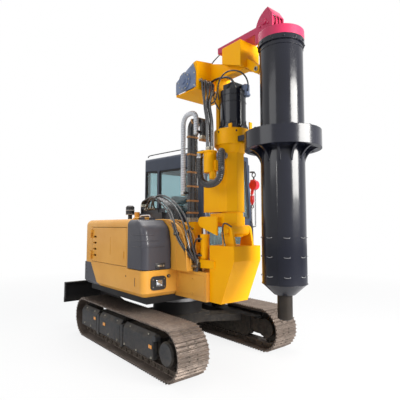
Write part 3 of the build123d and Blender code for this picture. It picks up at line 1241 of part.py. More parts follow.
def crown():
    """The welded crown: the post on the cap, the neck, the top beam and the winch box behind it."""
    y0 = MAST_Y - CROWN_HALF_WIDTH
    y1 = MAST_Y + CROWN_HALF_WIDTH
    front = CROWN_FRONT
    shape = cuboid(CROWN_REAR, front, y0, y1, CROWN_FLOOR, CROWN_FLOOR + CROWN_PLATE)
    end = poly((y0, CROWN_FLOOR), (y1, CROWN_FLOOR), (y1, CROWN_TOP), (MAST_Y + NECK_HALF_WIDTH, CROWN_PEAK),
               (MAST_Y - NECK_HALF_WIDTH, CROWN_PEAK), (y0, CROWN_TOP))
    shape += front_slab(end, front - CROWN_PLATE, front)
    wall = poly((CROWN_REAR, CROWN_FLOOR), (front, CROWN_FLOOR), (front, CROWN_TOP),
                (front - 45, CROWN_TOP), (CROWN_REAR, CROWN_FLOOR + 190))
    opening = poly((CROWN_REAR + 30, CROWN_FLOOR + CROWN_PLATE), (front - 45, CROWN_FLOOR + CROWN_PLATE),
                   (front - 45, WINCH_Z + 70), (CROWN_REAR + 120, WINCH_Z + 70), (CROWN_REAR + 30, WINCH_Z - 20))
    opening -= Pos(WINCH_X, WINCH_Z) * Circle(WINCH_HUB)
    opening -= Pos(WINCH_X, WINCH_Z + 60) * Rectangle(2 * WINCH_HUB, 120)
    for y in (y0, y1 - CROWN_PLATE):
        shape += side_slab(wall - opening, y, y + CROWN_PLATE)
        shape -= round_y(WINCH_SHAFT + PIN_FIT, WINCH_X, WINCH_Z, y - 5, y + CROWN_PLATE + 5)
    neck = poly((front - 5, NECK_BOTTOM), (BEAM_FRONT - 30, BEAM_BOTTOM + 5), (BEAM_FRONT - 30, NECK_TOP),
                (BEAM_REAR, NECK_TOP), (front - 5, CROWN_PEAK - 10))
    shape += side_slab(neck, MAST_Y - NECK_HALF_WIDTH, MAST_Y + NECK_HALF_WIDTH)
    beam = poly((BEAM_REAR, BEAM_REAR_BOTTOM), (BEAM_FRONT, BEAM_BOTTOM), (BEAM_FRONT, BEAM_TOP),
                (BEAM_REAR, BEAM_TOP))
    shape += side_slab(beam, MAST_Y - BEAM_HALF, MAST_Y + BEAM_HALF)
    shape += cuboid(MAST_X - CAP_RADIUS + 2, DRIVE_MOTOR_X - DRIVE_FLANGE - 2, MAST_Y - POST_HALF_WIDTH,
                    MAST_Y + POST_HALF_WIDTH, CAP_TOP, NECK_BOTTOM + 40)
    lug_x, lug_z = LUG_EYE
    lug = make_hull([*(Pos(lug_x, lug_z) * Circle(LUG_RADIUS)).edges(),
                     Edge.make_line((BEAM_FRONT - 8, BEAM_BOTTOM + 10), (BEAM_FRONT - 8, BEAM_BOTTOM + 120))])
    for side in (-1, 1):
        outer = MAST_Y + side * LUG_HALF_WIDTH
        inner = outer - side * LUG_PLATE
        shape += side_slab(lug, min(outer, inner), max(outer, inner))
    shape -= round_y(LUG_BORE, lug_x, lug_z, MAST_Y - LUG_HALF_WIDTH - 5, MAST_Y + LUG_HALF_WIDTH + 5)
    return shape


def winch():
    """The winch drum and its shaft in the crown."""
    reach = CROWN_HALF_WIDTH
    inner = reach - CROWN_PLATE - CLEAR
    shape = round_y(WINCH_SHAFT, WINCH_X, WINCH_Z, MAST_Y - reach, MAST_Y + reach)
    shape += round_y(WINCH_DRUM, WINCH_X, WINCH_Z, MAST_Y - inner, MAST_Y + inner)
    for side in (-1, 1):
        a = MAST_Y + side * inner
        b = a - side * 22
        shape += round_y(WINCH_FLANGE, WINCH_X, WINCH_Z, min(a, b), max(a, b))
    return shape


def head_frame():
    """The red head: channel on the beam, cheeks for the sheaves and the collar on the casing."""
    y0 = MAST_Y - HEAD_HALF_WIDTH
    y1 = MAST_Y + HEAD_HALF_WIDTH
    collar_top = TUBE_TOP + COLLAR_HEIGHT
    shape = round_z(RIM_RADIUS, TOOL_X, MAST_Y, TUBE_TOP, collar_top)
    shape += cuboid(HEAD_REAR, CHEEK_REAR + CHEEK_PLATE, y0, y1, BEAM_TOP, BEAM_TOP + HEAD_PLATE)
    ax, az = CHEEK_APEX
    profile = make_face([
        Edge.make_line((CHEEK_REAR, collar_top - 20), (CHEEK_FRONT, collar_top - 20)),
        Edge.make_line((CHEEK_FRONT, collar_top - 20), (CHEEK_FRONT, az - 90)),
        Edge.make_line((CHEEK_FRONT, az - 90), (ax + 20, az)),
        *ThreePointArc((ax + 20, az), (ax - 90, az - 65), (CHEEK_REAR, az - 210)).edges(),
        Edge.make_line((CHEEK_REAR, az - 210), (CHEEK_REAR, collar_top - 20)),
    ])
    for y in (y0, y1 - CHEEK_PLATE):
        shape += side_slab(profile, y, y + CHEEK_PLATE)
        shape -= round_y(SHEAVE_SHAFT + PIN_FIT, SHEAVE_X, SHEAVE_Z, y - 5, y + CHEEK_PLATE + 5)
    return shape


def head_sheaves():
    """Three grooved rope sheaves on one shaft."""
    shape = round_y(SHEAVE_SHAFT, SHEAVE_X, SHEAVE_Z, MAST_Y - HEAD_HALF_WIDTH, MAST_Y + HEAD_HALF_WIDTH)
    half = SHEAVE_THICKNESS / 2
    for i in range(SHEAVE_COUNT):
        y = MAST_Y + (i - (SHEAVE_COUNT - 1) / 2) * SHEAVE_PITCH
        section = poly((0, -half), (SHEAVE_RADIUS, -half), (SHEAVE_RADIUS - SHEAVE_GROOVE, 0),
                       (SHEAVE_RADIUS, half), (0, half))
        wheel = revolve(section, axis=Axis.Y)
        shape += Pos(SHEAVE_X, y, SHEAVE_Z) * wheel
    return shape


def hammer_casing():
    """The casing: tube, top rim, guide flange with flared gussets, and the coned foot."""
    profile = [(TUBE_RADIUS - TUBE_WALL, TUBE_TOP), (RIM_RADIUS, TUBE_TOP), (RIM_RADIUS, TUBE_TOP - RIM_HEIGHT),
               (TUBE_RADIUS, TUBE_TOP - RIM_HEIGHT), (TUBE_RADIUS, FLANGE_TOP), (FLANGE_RADIUS, FLANGE_TOP),
               (FLANGE_RADIUS, FLANGE_BOTTOM), (TUBE_RADIUS, FLANGE_BOTTOM), (TUBE_RADIUS, TUBE_BOTTOM),
               (CONE_RADIUS, TUBE_BOTTOM - CONE_HEIGHT), (STRIKER_RADIUS + PIN_FIT, TUBE_BOTTOM - CONE_HEIGHT),
               (STRIKER_RADIUS + PIN_FIT, TUBE_BOTTOM + BUSH_HEIGHT),
               (TUBE_RADIUS - TUBE_WALL, TUBE_BOTTOM + BUSH_HEIGHT)]
    section = Plane.XZ * Polygon(*profile, align=None)
    shape = revolve(section, axis=Axis.Z)
    inner = TUBE_RADIUS - 6
    lip = FLANGE_RADIUS - 8
    middle = ((inner + lip) / 2 - 28, FLANGE_BOTTOM - FLARE_HEIGHT / 2 + 24)
    fin = make_face([
        Edge.make_line((inner, FLANGE_BOTTOM - FLARE_HEIGHT), (inner, FLANGE_BOTTOM + 4)),
        Edge.make_line((inner, FLANGE_BOTTOM + 4), (lip, FLANGE_BOTTOM + 4)),
        *ThreePointArc((lip, FLANGE_BOTTOM + 4), middle, (inner + 6, FLANGE_BOTTOM - FLARE_HEIGHT)).edges(),
        Edge.make_line((inner + 6, FLANGE_BOTTOM - FLARE_HEIGHT), (inner, FLANGE_BOTTOM - FLARE_HEIGHT)),
    ])
    blade = side_slab(fin, -GUSSET_THICKNESS / 2, GUSSET_THICKNESS / 2)
    for i in range(GUSSET_COUNT):
        shape += Rot(0, 0, i * 360 / GUSSET_COUNT) * blade
    return Pos(TOOL_X, MAST_Y, 0) * shape


def tool_clamp():
    """The arm that ties the casing's flange to the mast cap."""
    arm = cuboid(MAST_X, TOOL_X, MAST_Y - CLAMP_HALF_WIDTH, MAST_Y + CLAMP_HALF_WIDTH, FLANGE_TOP,
                 FLANGE_TOP + CLAMP_HEIGHT)
    arm -= round_z(CAP_RADIUS + SEAT, MAST_X, MAST_Y, FLANGE_TOP - 5, FLANGE_TOP + CLAMP_HEIGHT + 5)
    arm -= round_z(TUBE_RADIUS + SEAT, TOOL_X, MAST_Y, FLANGE_TOP - 5, FLANGE_TOP + CLAMP_HEIGHT + 5)
    return arm


def striker():
    """The striker that slides in the foot of the casing."""
    seat = TUBE_BOTTOM + BUSH_HEIGHT + SEAT
    rod = round_z(STRIKER_RADIUS, TOOL_X, MAST_Y, STRIKER_BOTTOM, seat)
    rod = chamfer(rod.edges().filter_by(GeomType.CIRCLE).sort_by(Axis.Z)[0], 10)
    return rod + round_z(TUBE_RADIUS - TUBE_WALL - CLEAR, TOOL_X, MAST_Y, seat, seat + STRIKER_SHOULDER)


def swept(points, radii, radius):
    """A round hose along straight runs joined by arcs."""
    path = FilletPolyline(*points, radius=radii)
    start = Plane(origin=path @ 0, z_dir=path % 0)
    return sweep(start * Circle(radius), path=path)


def arch(y, rear, front, foot, crest, end):
    """Corner points of an upside-down U that stands in a plane of constant Y."""
    return [(rear, y, foot), (rear, y, crest), (front, y, crest), (front, y, end)]


def hose_bundle():
    """The flat strapped pack of hoses and the sleeved hose, which turn over beside the mast."""
    points = arch(PACK_Y, PACK_REAR_X, PACK_FRONT_X, STACK_HEAD[3], PACK_CREST_Z, PACK_END_Z)
    bend = (PACK_FRONT_X - PACK_REAR_X) / 2 - 0.5
    path = FilletPolyline(*points, radius=[bend, bend])
    start = Plane(origin=path @ 0, x_dir=(0, 1, 0), z_dir=path % 0)
    pack = sweep(start * RectangleRounded(PACK_WIDTH, PACK_DEPTH, PACK_EDGE), path=path)
    bend = (SLEEVE_HOSE_FRONT_X - SLEEVE_HOSE_REAR_X) / 2 - 0.5
    sleeve = swept(arch(SLEEVE_HOSE_Y, SLEEVE_HOSE_REAR_X, SLEEVE_HOSE_FRONT_X, SLEEVE_HOSE_FOOT_Z,
                        SLEEVE_HOSE_CREST_Z, SLEEVE_HOSE_END_Z), [bend, bend], SLEEVE_HOSE_RADIUS)
    shape = pack + sleeve
    edge = PACK_Y - PACK_WIDTH / 2 + TIE_HEIGHT / 2
    for x, end in ((SLEEVE_HOSE_REAR_X, SLEEVE_HOSE_FOOT_Z), (SLEEVE_HOSE_FRONT_X, SLEEVE_HOSE_END_Z)):
        z = end + TIE_HEIGHT
        shape += cuboid(x - TIE_HEIGHT / 2, x + TIE_HEIGHT / 2, SLEEVE_HOSE_Y, edge, z, z + TIE_HEIGHT)
    return shape


def valve_stack():
    """The stacked valves and fittings on the front frame that the hoses meet at."""
    y0, y1 = STACK_Y - STACK_HALF_WIDTH, STACK_Y + STACK_HALF_WIDTH
    rear, front, top = STACK_FOOT
    shape = cuboid(rear, front, y0, y1, SKIRT_TOP, top)
    below = top
    for rear, front, low, high in (STACK_MIDDLE, STACK_HEAD):
        shape += round_z(STACK_NECK, STACK_X, STACK_Y, below - 5, low + 5)
        shape += cuboid(rear, front, y0, y1, low, high)
        below = high
    return shape


def hood_hose_places():
    """Where the hood hoses lie across the machine."""
    middle = (HOOD_HOSE_COUNT - 1) / 2
    return [STACK_Y + (i - middle) * HOOD_HOSE_PITCH for i in range(HOOD_HOSE_COUNT)]


def valve_bank():
    """The control valve bank on the hood, with a port under each hose."""
    x0, x1 = BANK_SPAN
    y0, y1 = BANK_Y
    top = HOOD_TOP + BANK_RISE
    shape = cuboid(x0, x1, y0, y1, HOOD_TOP, top)
    shape += cuboid(*BANK_HEAD_SPAN, y0 + 15, y1 - 25, top, HOOD_TOP + BANK_HEAD_RISE)
    x = HOOD_HOSE_RUN[0][0]
    shape += cuboid(x - PORT_RADIUS, x + PORT_RADIUS, y0 + 10, y1 - 10, top, HOOD_TOP + PORT_RISE)
    return shape


def hood_hoses():
    """The row of hoses from the valve bank over the hood's front edge and down to the valve stack."""
    hoses = []
    x = HOOD_HOSE_RUN[0][0]
    rear, front, top = STACK_FOOT
    block = cuboid(rear, front, STACK_Y - 2 * STACK_HALF_WIDTH, STACK_Y + 2 * STACK_HALF_WIDTH, SKIRT_TOP, top)
    for y in hood_hose_places():
        points = [(x, y, HOOD_TOP + PORT_RISE)] + [(px, y, pz) for px, pz in HOOD_HOSE_RUN]
        hoses.append(swept(points, list(HOOD_HOSE_BENDS), HOOD_HOSE_RADIUS) - block)
    return Compound(children=hoses)


def mast_valve():
    """The valve on the outer mast's right side, with its bracket and the arm that ends the hose loop."""
    shape = round_z(VALVE_RADIUS, VALVE_X, VALVE_Y, VALVE_BOTTOM, VALVE_TOP)
    shape += round_z(VALVE_CAP, VALVE_X, VALVE_Y, VALVE_TOP, VALVE_TOP + VALVE_CAP_HEIGHT)
    shape += cuboid(LOOP_REAR_X - LOOP_RADIUS, VALVE_X, LOOP_Y - LOOP_RADIUS, LOOP_Y + LOOP_RADIUS,
                    VALVE_TOP, VALVE_TOP + VALVE_CAP_HEIGHT)
    wall = MAST_Y - SLEEVE_FLATS / 2
    shape += cuboid(MAST_X - 48, MAST_X + 10, VALVE_Y, wall - SEAT, VALVE_BOTTOM + 20, VALVE_TOP - 90)
    port_x, port_radius, port_end = VALVE_PORT
    shape += round_z(port_radius, port_x, VALVE_Y, port_end, VALVE_BOTTOM + 5)
    return shape


def crown_hoses():
    """The hoses from the winch box down to the mast valve, and the thick loop under the valve."""
    hoses = []
    top = VALVE_TOP + VALVE_CAP_HEIGHT
    for y, (dx, dy) in zip(CROWN_HOSE_STARTS, CROWN_HOSE_ENDS):
        hx, hy = VALVE_X + dx, VALVE_Y + dy
        points = [(CROWN_FRONT, y, CROWN_HOSE_START_Z), (CROWN_FRONT + 62, y, CROWN_HOSE_START_Z),
                  (hx - 70, hy + 20, CROWN_HOSE_WAIST), (hx, hy, CROWN_HOSE_DROP), (hx, hy, top)]
        hoses.append(swept(points, [45, 120, 90], CROWN_HOSE_RADIUS))
    wall = MAST_Y - SLEEVE_FLATS / 2 - SEAT
    bend = (LOOP_FRONT_X - LOOP_REAR_X) / 2 - 0.5
    loop = [(LOOP_REAR_X, LOOP_Y, VALVE_TOP), (LOOP_REAR_X, LOOP_Y, LOOP_BOTTOM), (LOOP_FRONT_X, LOOP_Y, LOOP_BOTTOM),
            (LOOP_FRONT_X, LOOP_Y, LOOP_END_Z), (LOOP_END_X, wall - 80, LOOP_END_Z), (LOOP_END_X, wall, LOOP_END_Z)]
    hoses.append(swept(loop, [bend, bend, 50, 40], LOOP_RADIUS))
    return Compound(children=hoses)


def build():
    """Every sub-part by name."""
    barrels, rods = tilt_rams()
    blade_barrel, blade_rod = ram(BLADE_RAM_BASE, BLADE_RAM_TIP, 0, BLADE_BARREL_RADIUS, BLADE_ROD_RADIUS,
                                  BLADE_RAM_PIN, BLADE_RAM_PIN, RAM_EYE_WIDTH, 0.58)
    return {
        "track_right": track(-1),
        "track_left": track(1),
        "side_frame_right": side_frame(-1),
        "side_frame_left": side_frame(1),
        "sprockets": sprockets(),
        "idlers": idlers(),
        "rollers": rollers(),
        "frame_covers": frame_covers(),
        "centre_frame": centre_frame(),
        "slew_ring_lower": ring(True),
        "slew_ring_upper": ring(False),
        "dozer_blade": dozer_blade(),
        "blade_ram_barrel": blade_barrel,
        "blade_ram_rod": blade_rod,
        "revolving_frame": revolving_frame(),
        "skirts": skirts(),
        "counterweight": counterweight(),
        "hood": hood() + nose_hinge_pins(),
        "side_cover": side_cover(),
        "nose_cover": nose_cover(),
        "fuel_tank": fuel_tank(),
        "front_fender": front_fender(),
        "engine": engine(),
        "cab_shell": cab_shell(),
        "cab_glass": cab_glass(),
        "cab_door": cab_door(),
        "cab_door_glass": cab_door_glass(),
        "seat": seat(),
        "cab_controls": cab_controls(),
        "headlamp": headlamp(),
        "air_precleaner": air_precleaner(),
        "exhaust": exhaust(),
        "nose_frame": nose_frame(),
        "mast_base": mast_base(),
        "mast_column": mast_column(),
        "tilt_ram_barrels": barrels,
        "tilt_ram_rods": rods,
        "mast_sleeve": mast_sleeve(),
        "mast_cap": mast_cap(),
        "drive_motor": drive_motor(),
        "crown": crown(),
        "winch": winch(),
        "head_frame": head_frame(),
        "head_sheaves": head_sheaves(),
        "hammer_casing": hammer_casing(),
        "tool_clamp": tool_clamp(),
        "striker": striker(),
        "hose_bundle": hose_bundle(),
        "valve_stack": valve_stack(),
        "valve_bank": valve_bank(),
        "hood_hoses": hood_hoses(),
        "mast_valve": mast_valve(),
        "crown_hoses": crown_hoses(),
    }


os.makedirs("parts", exist_ok=True)
for name, shape in build().items():
    export_step(shape, f"parts/{name}.step")
    print(name, "built")
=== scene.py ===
# %% [markdown]
# A crawler pile driver, dressed for the camera.
# The construction comes from a finished model of the machine, with every piece at its real size. This
# lesson gives each surface its paint, steel, rubber or glass, and models what a maker fits last: bolts,
# hoses, seals, handles, lamps and the links of the tracks. All lengths are in metres, X points forward,
# Y to the machine's left and Z up.

# %% Load the machine
import math
import random

import bmesh
import bpy
from mathutils import Matrix, Vector
from mathutils.bvhtree import BVHTree


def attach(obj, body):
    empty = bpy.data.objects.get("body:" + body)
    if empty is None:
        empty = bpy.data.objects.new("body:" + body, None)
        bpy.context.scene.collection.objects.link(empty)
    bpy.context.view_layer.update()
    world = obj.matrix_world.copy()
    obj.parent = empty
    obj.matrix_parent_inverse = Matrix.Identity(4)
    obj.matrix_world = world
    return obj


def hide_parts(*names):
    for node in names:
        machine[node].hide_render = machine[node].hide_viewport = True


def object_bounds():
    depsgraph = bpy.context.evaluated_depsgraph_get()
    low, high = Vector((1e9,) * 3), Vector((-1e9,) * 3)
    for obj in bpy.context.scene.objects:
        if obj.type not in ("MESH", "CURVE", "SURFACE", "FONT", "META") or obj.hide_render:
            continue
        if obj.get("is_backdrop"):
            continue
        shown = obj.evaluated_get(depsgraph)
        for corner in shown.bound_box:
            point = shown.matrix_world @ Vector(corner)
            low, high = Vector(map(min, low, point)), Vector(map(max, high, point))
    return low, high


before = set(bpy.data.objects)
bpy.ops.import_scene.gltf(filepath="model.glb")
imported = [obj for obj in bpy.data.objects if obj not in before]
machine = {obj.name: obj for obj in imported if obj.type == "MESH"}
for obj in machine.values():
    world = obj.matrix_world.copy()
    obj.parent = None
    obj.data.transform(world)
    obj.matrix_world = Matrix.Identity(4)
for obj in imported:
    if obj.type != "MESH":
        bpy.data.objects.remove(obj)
cad_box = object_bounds()
random.seed(7)
print("pieces from the model:", len(machine))

# %% [markdown]
# The camera stands at the front right corner, at eye height, and looks slightly up. Its place and lens were
# worked out from the corners of the tracks, so that the machine sits in the picture as it does in the
# photograph. A lens in millimetres means little without the sensor's width, so both are named here.

# %% Camera
PHOTO_SIDE = 400
FOCAL_PIXELS = 366.25
SENSOR_WIDTH = 36.0
EYE = Vector((4.297, -3.135, 1.608))
YAW = math.radians(140.44)
PITCH = math.radians(4.11)

camera_data = bpy.data.cameras.new("photo_camera")
camera_data.sensor_width = SENSOR_WIDTH
camera_data.lens = SENSOR_WIDTH * FOCAL_PIXELS / PHOTO_SIDE
camera = bpy.data.objects.new("photo_camera", camera_data)
bpy.context.scene.collection.objects.link(camera)
looking = Vector((math.cos(PITCH) * math.cos(YAW), math.cos(PITCH) * math.sin(YAW), math.sin(PITCH)))
camera.location = EYE
camera.rotation_euler = looking.to_track_quat("-Z", "Y").to_euler()
bpy.context.scene.camera = camera
bpy.context.scene.view_settings.view_transform = "Standard"
print("lens", round(camera_data.lens, 2), "mm")

# %% [markdown]
# A studio for a machine this big is a pale floor, a pale sky and three large soft lamps. The sky is drawn
# white only where the camera, a reflection or a pane of glass looks at it, and stays grey as a light, so the
# paint keeps its own colour. The floor glows for the camera too, all white far away and a little less near
# the machine, where its shadow has to show. The strongest lamp stands ahead of the machine.

# %% Floor, sky and lamps
FLOOR_SIZE = 60.0
FLOOR_GLOW = 0.84
GLOW_GROWS_FROM, GLOW_GROWS_TO = 3.5, 9.0
SKY_LIGHT = 0.5
WHITE = (1, 1, 1, 1)


def new_material(name):
    """An empty node material and its tree."""
    material = bpy.data.materials.new(name)
    material.use_nodes = True
    return material, material.node_tree.nodes, material.node_tree.links


def calculate(tree, operation, a, b=None, clamp=False):
    """A math node; each operand is a socket or a number."""
    node = tree.nodes.new("ShaderNodeMath")
    node.operation = operation
    node.use_clamp = clamp
    for slot, value in enumerate((a, b)):
        if value is None:
            continue
        if isinstance(value, (int, float)):
            node.inputs[slot].default_value = value
        else:
            tree.links.new(value, node.inputs[slot])
    return node.outputs[0]


def spread(tree, value, low, high, start=0.0, end=1.0):
    """Stretch a value so that low becomes start and high becomes end."""
    node = tree.nodes.new("ShaderNodeMapRange")
    tree.links.new(value, node.inputs["Value"])
    for label, limit in (("From Min", low), ("From Max", high), ("To Min", start), ("To Max", end)):
        node.inputs[label].default_value = limit
    return node.outputs["Result"]


def lay_over(tree, share, under, over, output):
    """Show one shader through another by a share, and send both to the output."""
    blend = tree.nodes.new("ShaderNodeMixShader")
    for slot, socket in enumerate((share, under.outputs[0], over.outputs[0])):
        tree.links.new(socket, blend.inputs[slot])
    tree.links.new(blend.outputs[0], tree.nodes[output].inputs["Surface"])


floor_mesh = bpy.data.meshes.new("floor")
floor_bm = bmesh.new()
bmesh.ops.create_grid(floor_bm, x_segments=1, y_segments=1, size=FLOOR_SIZE / 2)
floor_bm.to_mesh(floor_mesh)
floor_bm.free()
floor = bpy.data.objects.new("floor", floor_mesh)
bpy.context.scene.collection.objects.link(floor)
floor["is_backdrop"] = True

floor_paint, nodes, links = new_material("studio_floor")
tree = floor_paint.node_tree
pale = nodes["Principled BSDF"]
pale.inputs["Base Color"].default_value = (0.62, 0.62, 0.63, 1)
pale.inputs["Roughness"].default_value = 0.9
glow = nodes.new("ShaderNodeEmission")
glow.inputs["Color"].default_value = WHITE
away = nodes.new("ShaderNodeVectorMath")
away.operation = "LENGTH"
links.new(nodes.new("ShaderNodeTexCoord").outputs["Object"], away.inputs[0])
growth = spread(tree, away.outputs["Value"], GLOW_GROWS_FROM, GLOW_GROWS_TO, FLOOR_GLOW, 1.0)
rays = nodes.new("ShaderNodeLightPath").outputs
lay_over(tree, calculate(tree, "MULTIPLY", rays["Is Camera Ray"], growth), pale, glow, "Material Output")
floor_mesh.materials.append(floor_paint)

world = bpy.data.worlds.new("studio_sky")
bpy.context.scene.world = world
world.use_nodes = True
tree = world.node_tree
lighting = tree.nodes["Background"]
lighting.inputs["Color"].default_value = (0.93, 0.96, 1.0, 1)
lighting.inputs["Strength"].default_value = SKY_LIGHT
backdrop = tree.nodes.new("ShaderNodeBackground")
backdrop.inputs["Color"].default_value = WHITE
rays = tree.nodes.new("ShaderNodeLightPath").outputs
white_rays = calculate(tree, "MAXIMUM", rays["Is Camera Ray"], rays["Is Glossy Ray"])
white_rays = calculate(tree, "MAXIMUM", white_rays, rays["Is Transmission Ray"])
lay_over(tree, white_rays, lighting, backdrop, "World Output")


def soft_lamp(name, place, target, width, height, watts, tint=(1, 1, 1)):
    """A rectangular lamp that faces a target."""
    data = bpy.data.lights.new(name, "AREA")
    data.shape = "RECTANGLE"
    data.size = width
    data.size_y = height
    data.energy = watts
    data.color = tint
    lamp = bpy.data.objects.new(name, data)
    bpy.context.scene.collection.objects.link(lamp)
    lamp.location = place
    lamp.rotation_euler = (Vector(target) - Vector(place)).to_track_quat("-Z", "Y").to_euler()
    return lamp


soft_lamp("front_lamp", (8.0, 1.2, 3.8), (1.2, -0.2, 1.6), 4.0, 3.0, 1120, (1.0, 0.98, 0.94))
soft_lamp("right_lamp", (0.5, -7.5, 4.5), (0.0, 0.0, 1.3), 5.0, 3.0, 120)
soft_lamp("top_lamp", (-1.5, 0.5, 8.0), (0.3, 0.0, 1.5), 5.0, 5.0, 430)
print("lamps placed")

# %% [markdown]
# Paint on a working machine is never one even colour. Four small effects are shared by all the finishes, so
# each is a node group: clouds of slightly different tone, dust that settles on what faces up and on what is
# low, paint worn through along edges, and a fine grain for the bump. The edge group leans on the Bevel node,
# which rounds the shading of a sharp corner without touching its mesh.

# %% Shared effects
def make_group(name, inputs, outputs):
    """A shader node group with named sockets."""
    tree = bpy.data.node_groups.new(name, "ShaderNodeTree")
    for label, kind, value in inputs:
        socket = tree.interface.new_socket(label, in_out="INPUT", socket_type=kind)
        if value is not None:
            socket.default_value = value
    for label, kind in outputs:
        tree.interface.new_socket(label, in_out="OUTPUT", socket_type=kind)
    return tree, tree.nodes.new("NodeGroupInput"), tree.nodes.new("NodeGroupOutput")


def noise(tree, place, size, detail=3.0, rough=0.55):
    """Noise of a given size at a place."""
    node = tree.nodes.new("ShaderNodeTexNoise")
    node.inputs["Detail"].default_value = detail
    node.inputs["Roughness"].default_value = rough
    tree.links.new(place, node.inputs["Vector"])
    if isinstance(size, (int, float)):
        node.inputs["Scale"].default_value = size
    else:
        tree.links.new(size, node.inputs["Scale"])
    return node.outputs["Fac"]


FLOAT = "NodeSocketFloat"
VECTOR = "NodeSocketVector"

clouds, start, end = make_group("clouds", [("Place", VECTOR, None), ("Size", FLOAT, 3.0)], [("Mask", FLOAT)])
cloud = noise(clouds, start.outputs["Place"], start.outputs["Size"], 5.0)
clouds.links.new(spread(clouds, cloud, 0.3, 0.7), end.inputs["Mask"])

dust, start, end = make_group(
    "settled_dust",
    [("Place", VECTOR, None), ("On Top", FLOAT, 0.5), ("Low Down", FLOAT, 0.3), ("Height", FLOAT, 0.9)],
    [("Mask", FLOAT)])
surface = dust.nodes.new("ShaderNodeNewGeometry")
facing = dust.nodes.new("ShaderNodeSeparateXYZ")
dust.links.new(surface.outputs["Normal"], facing.inputs[0])
spot = dust.nodes.new("ShaderNodeSeparateXYZ")
dust.links.new(start.outputs["Place"], spot.inputs[0])
upward = spread(dust, facing.outputs["Z"], 0.25, 1.0)
drift = spread(dust, noise(dust, start.outputs["Place"], 9.0, 6.0, 0.65), 0.36, 0.64)
top_part = calculate(dust, "MULTIPLY", calculate(dust, "MULTIPLY", upward, drift), start.outputs["On Top"])
risen = calculate(dust, "DIVIDE", spot.outputs["Z"], start.outputs["Height"])
lowness = calculate(dust, "SUBTRACT", 1.0, risen, clamp=True)
splash = spread(dust, noise(dust, start.outputs["Place"], 22.0, 5.0, 0.7), 0.32, 0.62)
splashed = calculate(dust, "MULTIPLY", lowness, splash)
low_part = calculate(dust, "MULTIPLY", splashed, start.outputs["Low Down"])
dust.links.new(calculate(dust, "ADD", top_part, low_part, clamp=True), end.inputs["Mask"])

edges, start, end = make_group(
    "worn_edges",
    [("Place", VECTOR, None), ("Radius", FLOAT, 0.005), ("Amount", FLOAT, 1.0)],
    [("Mask", FLOAT), ("Normal", VECTOR)])
rounding = edges.nodes.new("ShaderNodeBevel")
rounding.samples = 4
edges.links.new(start.outputs["Radius"], rounding.inputs["Radius"])
true_surface = edges.nodes.new("ShaderNodeNewGeometry")
turned = edges.nodes.new("ShaderNodeVectorMath")
turned.operation = "DOT_PRODUCT"
edges.links.new(rounding.outputs[0], turned.inputs[0])
edges.links.new(true_surface.outputs["Normal"], turned.inputs[1])
bend = calculate(edges, "SUBTRACT", 1.0, turned.outputs["Value"])
broken = spread(edges, noise(edges, start.outputs["Place"], 38.0, 6.0, 0.7), 0.45, 0.62)
rubbed = calculate(edges, "MULTIPLY", bend, broken)
worn = calculate(edges, "MULTIPLY", rubbed, start.outputs["Amount"], clamp=True)
edges.links.new(worn, end.inputs["Mask"])
edges.links.new(rounding.outputs[0], end.inputs["Normal"])

grain, start, end = make_group(
    "surface_grain",
    [("Place", VECTOR, None), ("Size", FLOAT, 60.0), ("Depth", FLOAT, 1.0)],
    [("Height", FLOAT)])
fine = noise(grain, start.outputs["Place"], start.outputs["Size"], 4.0)
coarse = noise(grain, start.outputs["Place"], 6.0, 2.0)
fine_part = calculate(grain, "MULTIPLY", fine, 0.35)
coarse_part = calculate(grain, "MULTIPLY", coarse, 0.65)
both = calculate(grain, "ADD", fine_part, coarse_part)
grain.links.new(calculate(grain, "MULTIPLY", both, start.outputs["Depth"]), end.inputs["Height"])
print("shared effects:", [g.name for g in bpy.data.node_groups])

# %% [markdown]
# Every painted or bare metal finish uses the same chain: a base tone, clouds of a second tone, dust, then
# the colour under the paint along the worn edges. Only the numbers differ, so one function builds them all,
# and the table below it reads like a paint list.

# %% Paint and metal finishes
DUST = (0.30, 0.25, 0.19)
DUST_MATT = 0.5


def linear(red, green, blue):
    """An sRGB colour of 0 to 255 as the linear values that shaders use."""
    def one(value):
        value = value / 255
        return value / 12.92 if value <= 0.04045 else ((value + 0.055) / 1.055) ** 2.4
    return (one(red), one(green), one(blue), 1)


def use_group(tree, group, place, **values):
    """Place a shared effect in a material and set its inputs."""
    node = tree.nodes.new("ShaderNodeGroup")
    node.node_tree = group
    tree.links.new(place, node.inputs["Place"])
    for label, value in values.items():
        node.inputs[label.replace("_", " ")].default_value = value
    return node


def mix_colour(tree, mask, below, above):
    """Lay one colour over another where the mask says."""
    node = tree.nodes.new("ShaderNodeMix")
    node.data_type = "RGBA"
    tree.links.new(mask, node.inputs["Factor"])
    for slot, value in (("A", below), ("B", above)):
        socket = [s for s in node.inputs if s.name == slot and s.type == "RGBA"][0]
        if isinstance(value, tuple):
            socket.default_value = value
        else:
            tree.links.new(value, socket)
    return [s for s in node.outputs if s.type == "RGBA"][0]


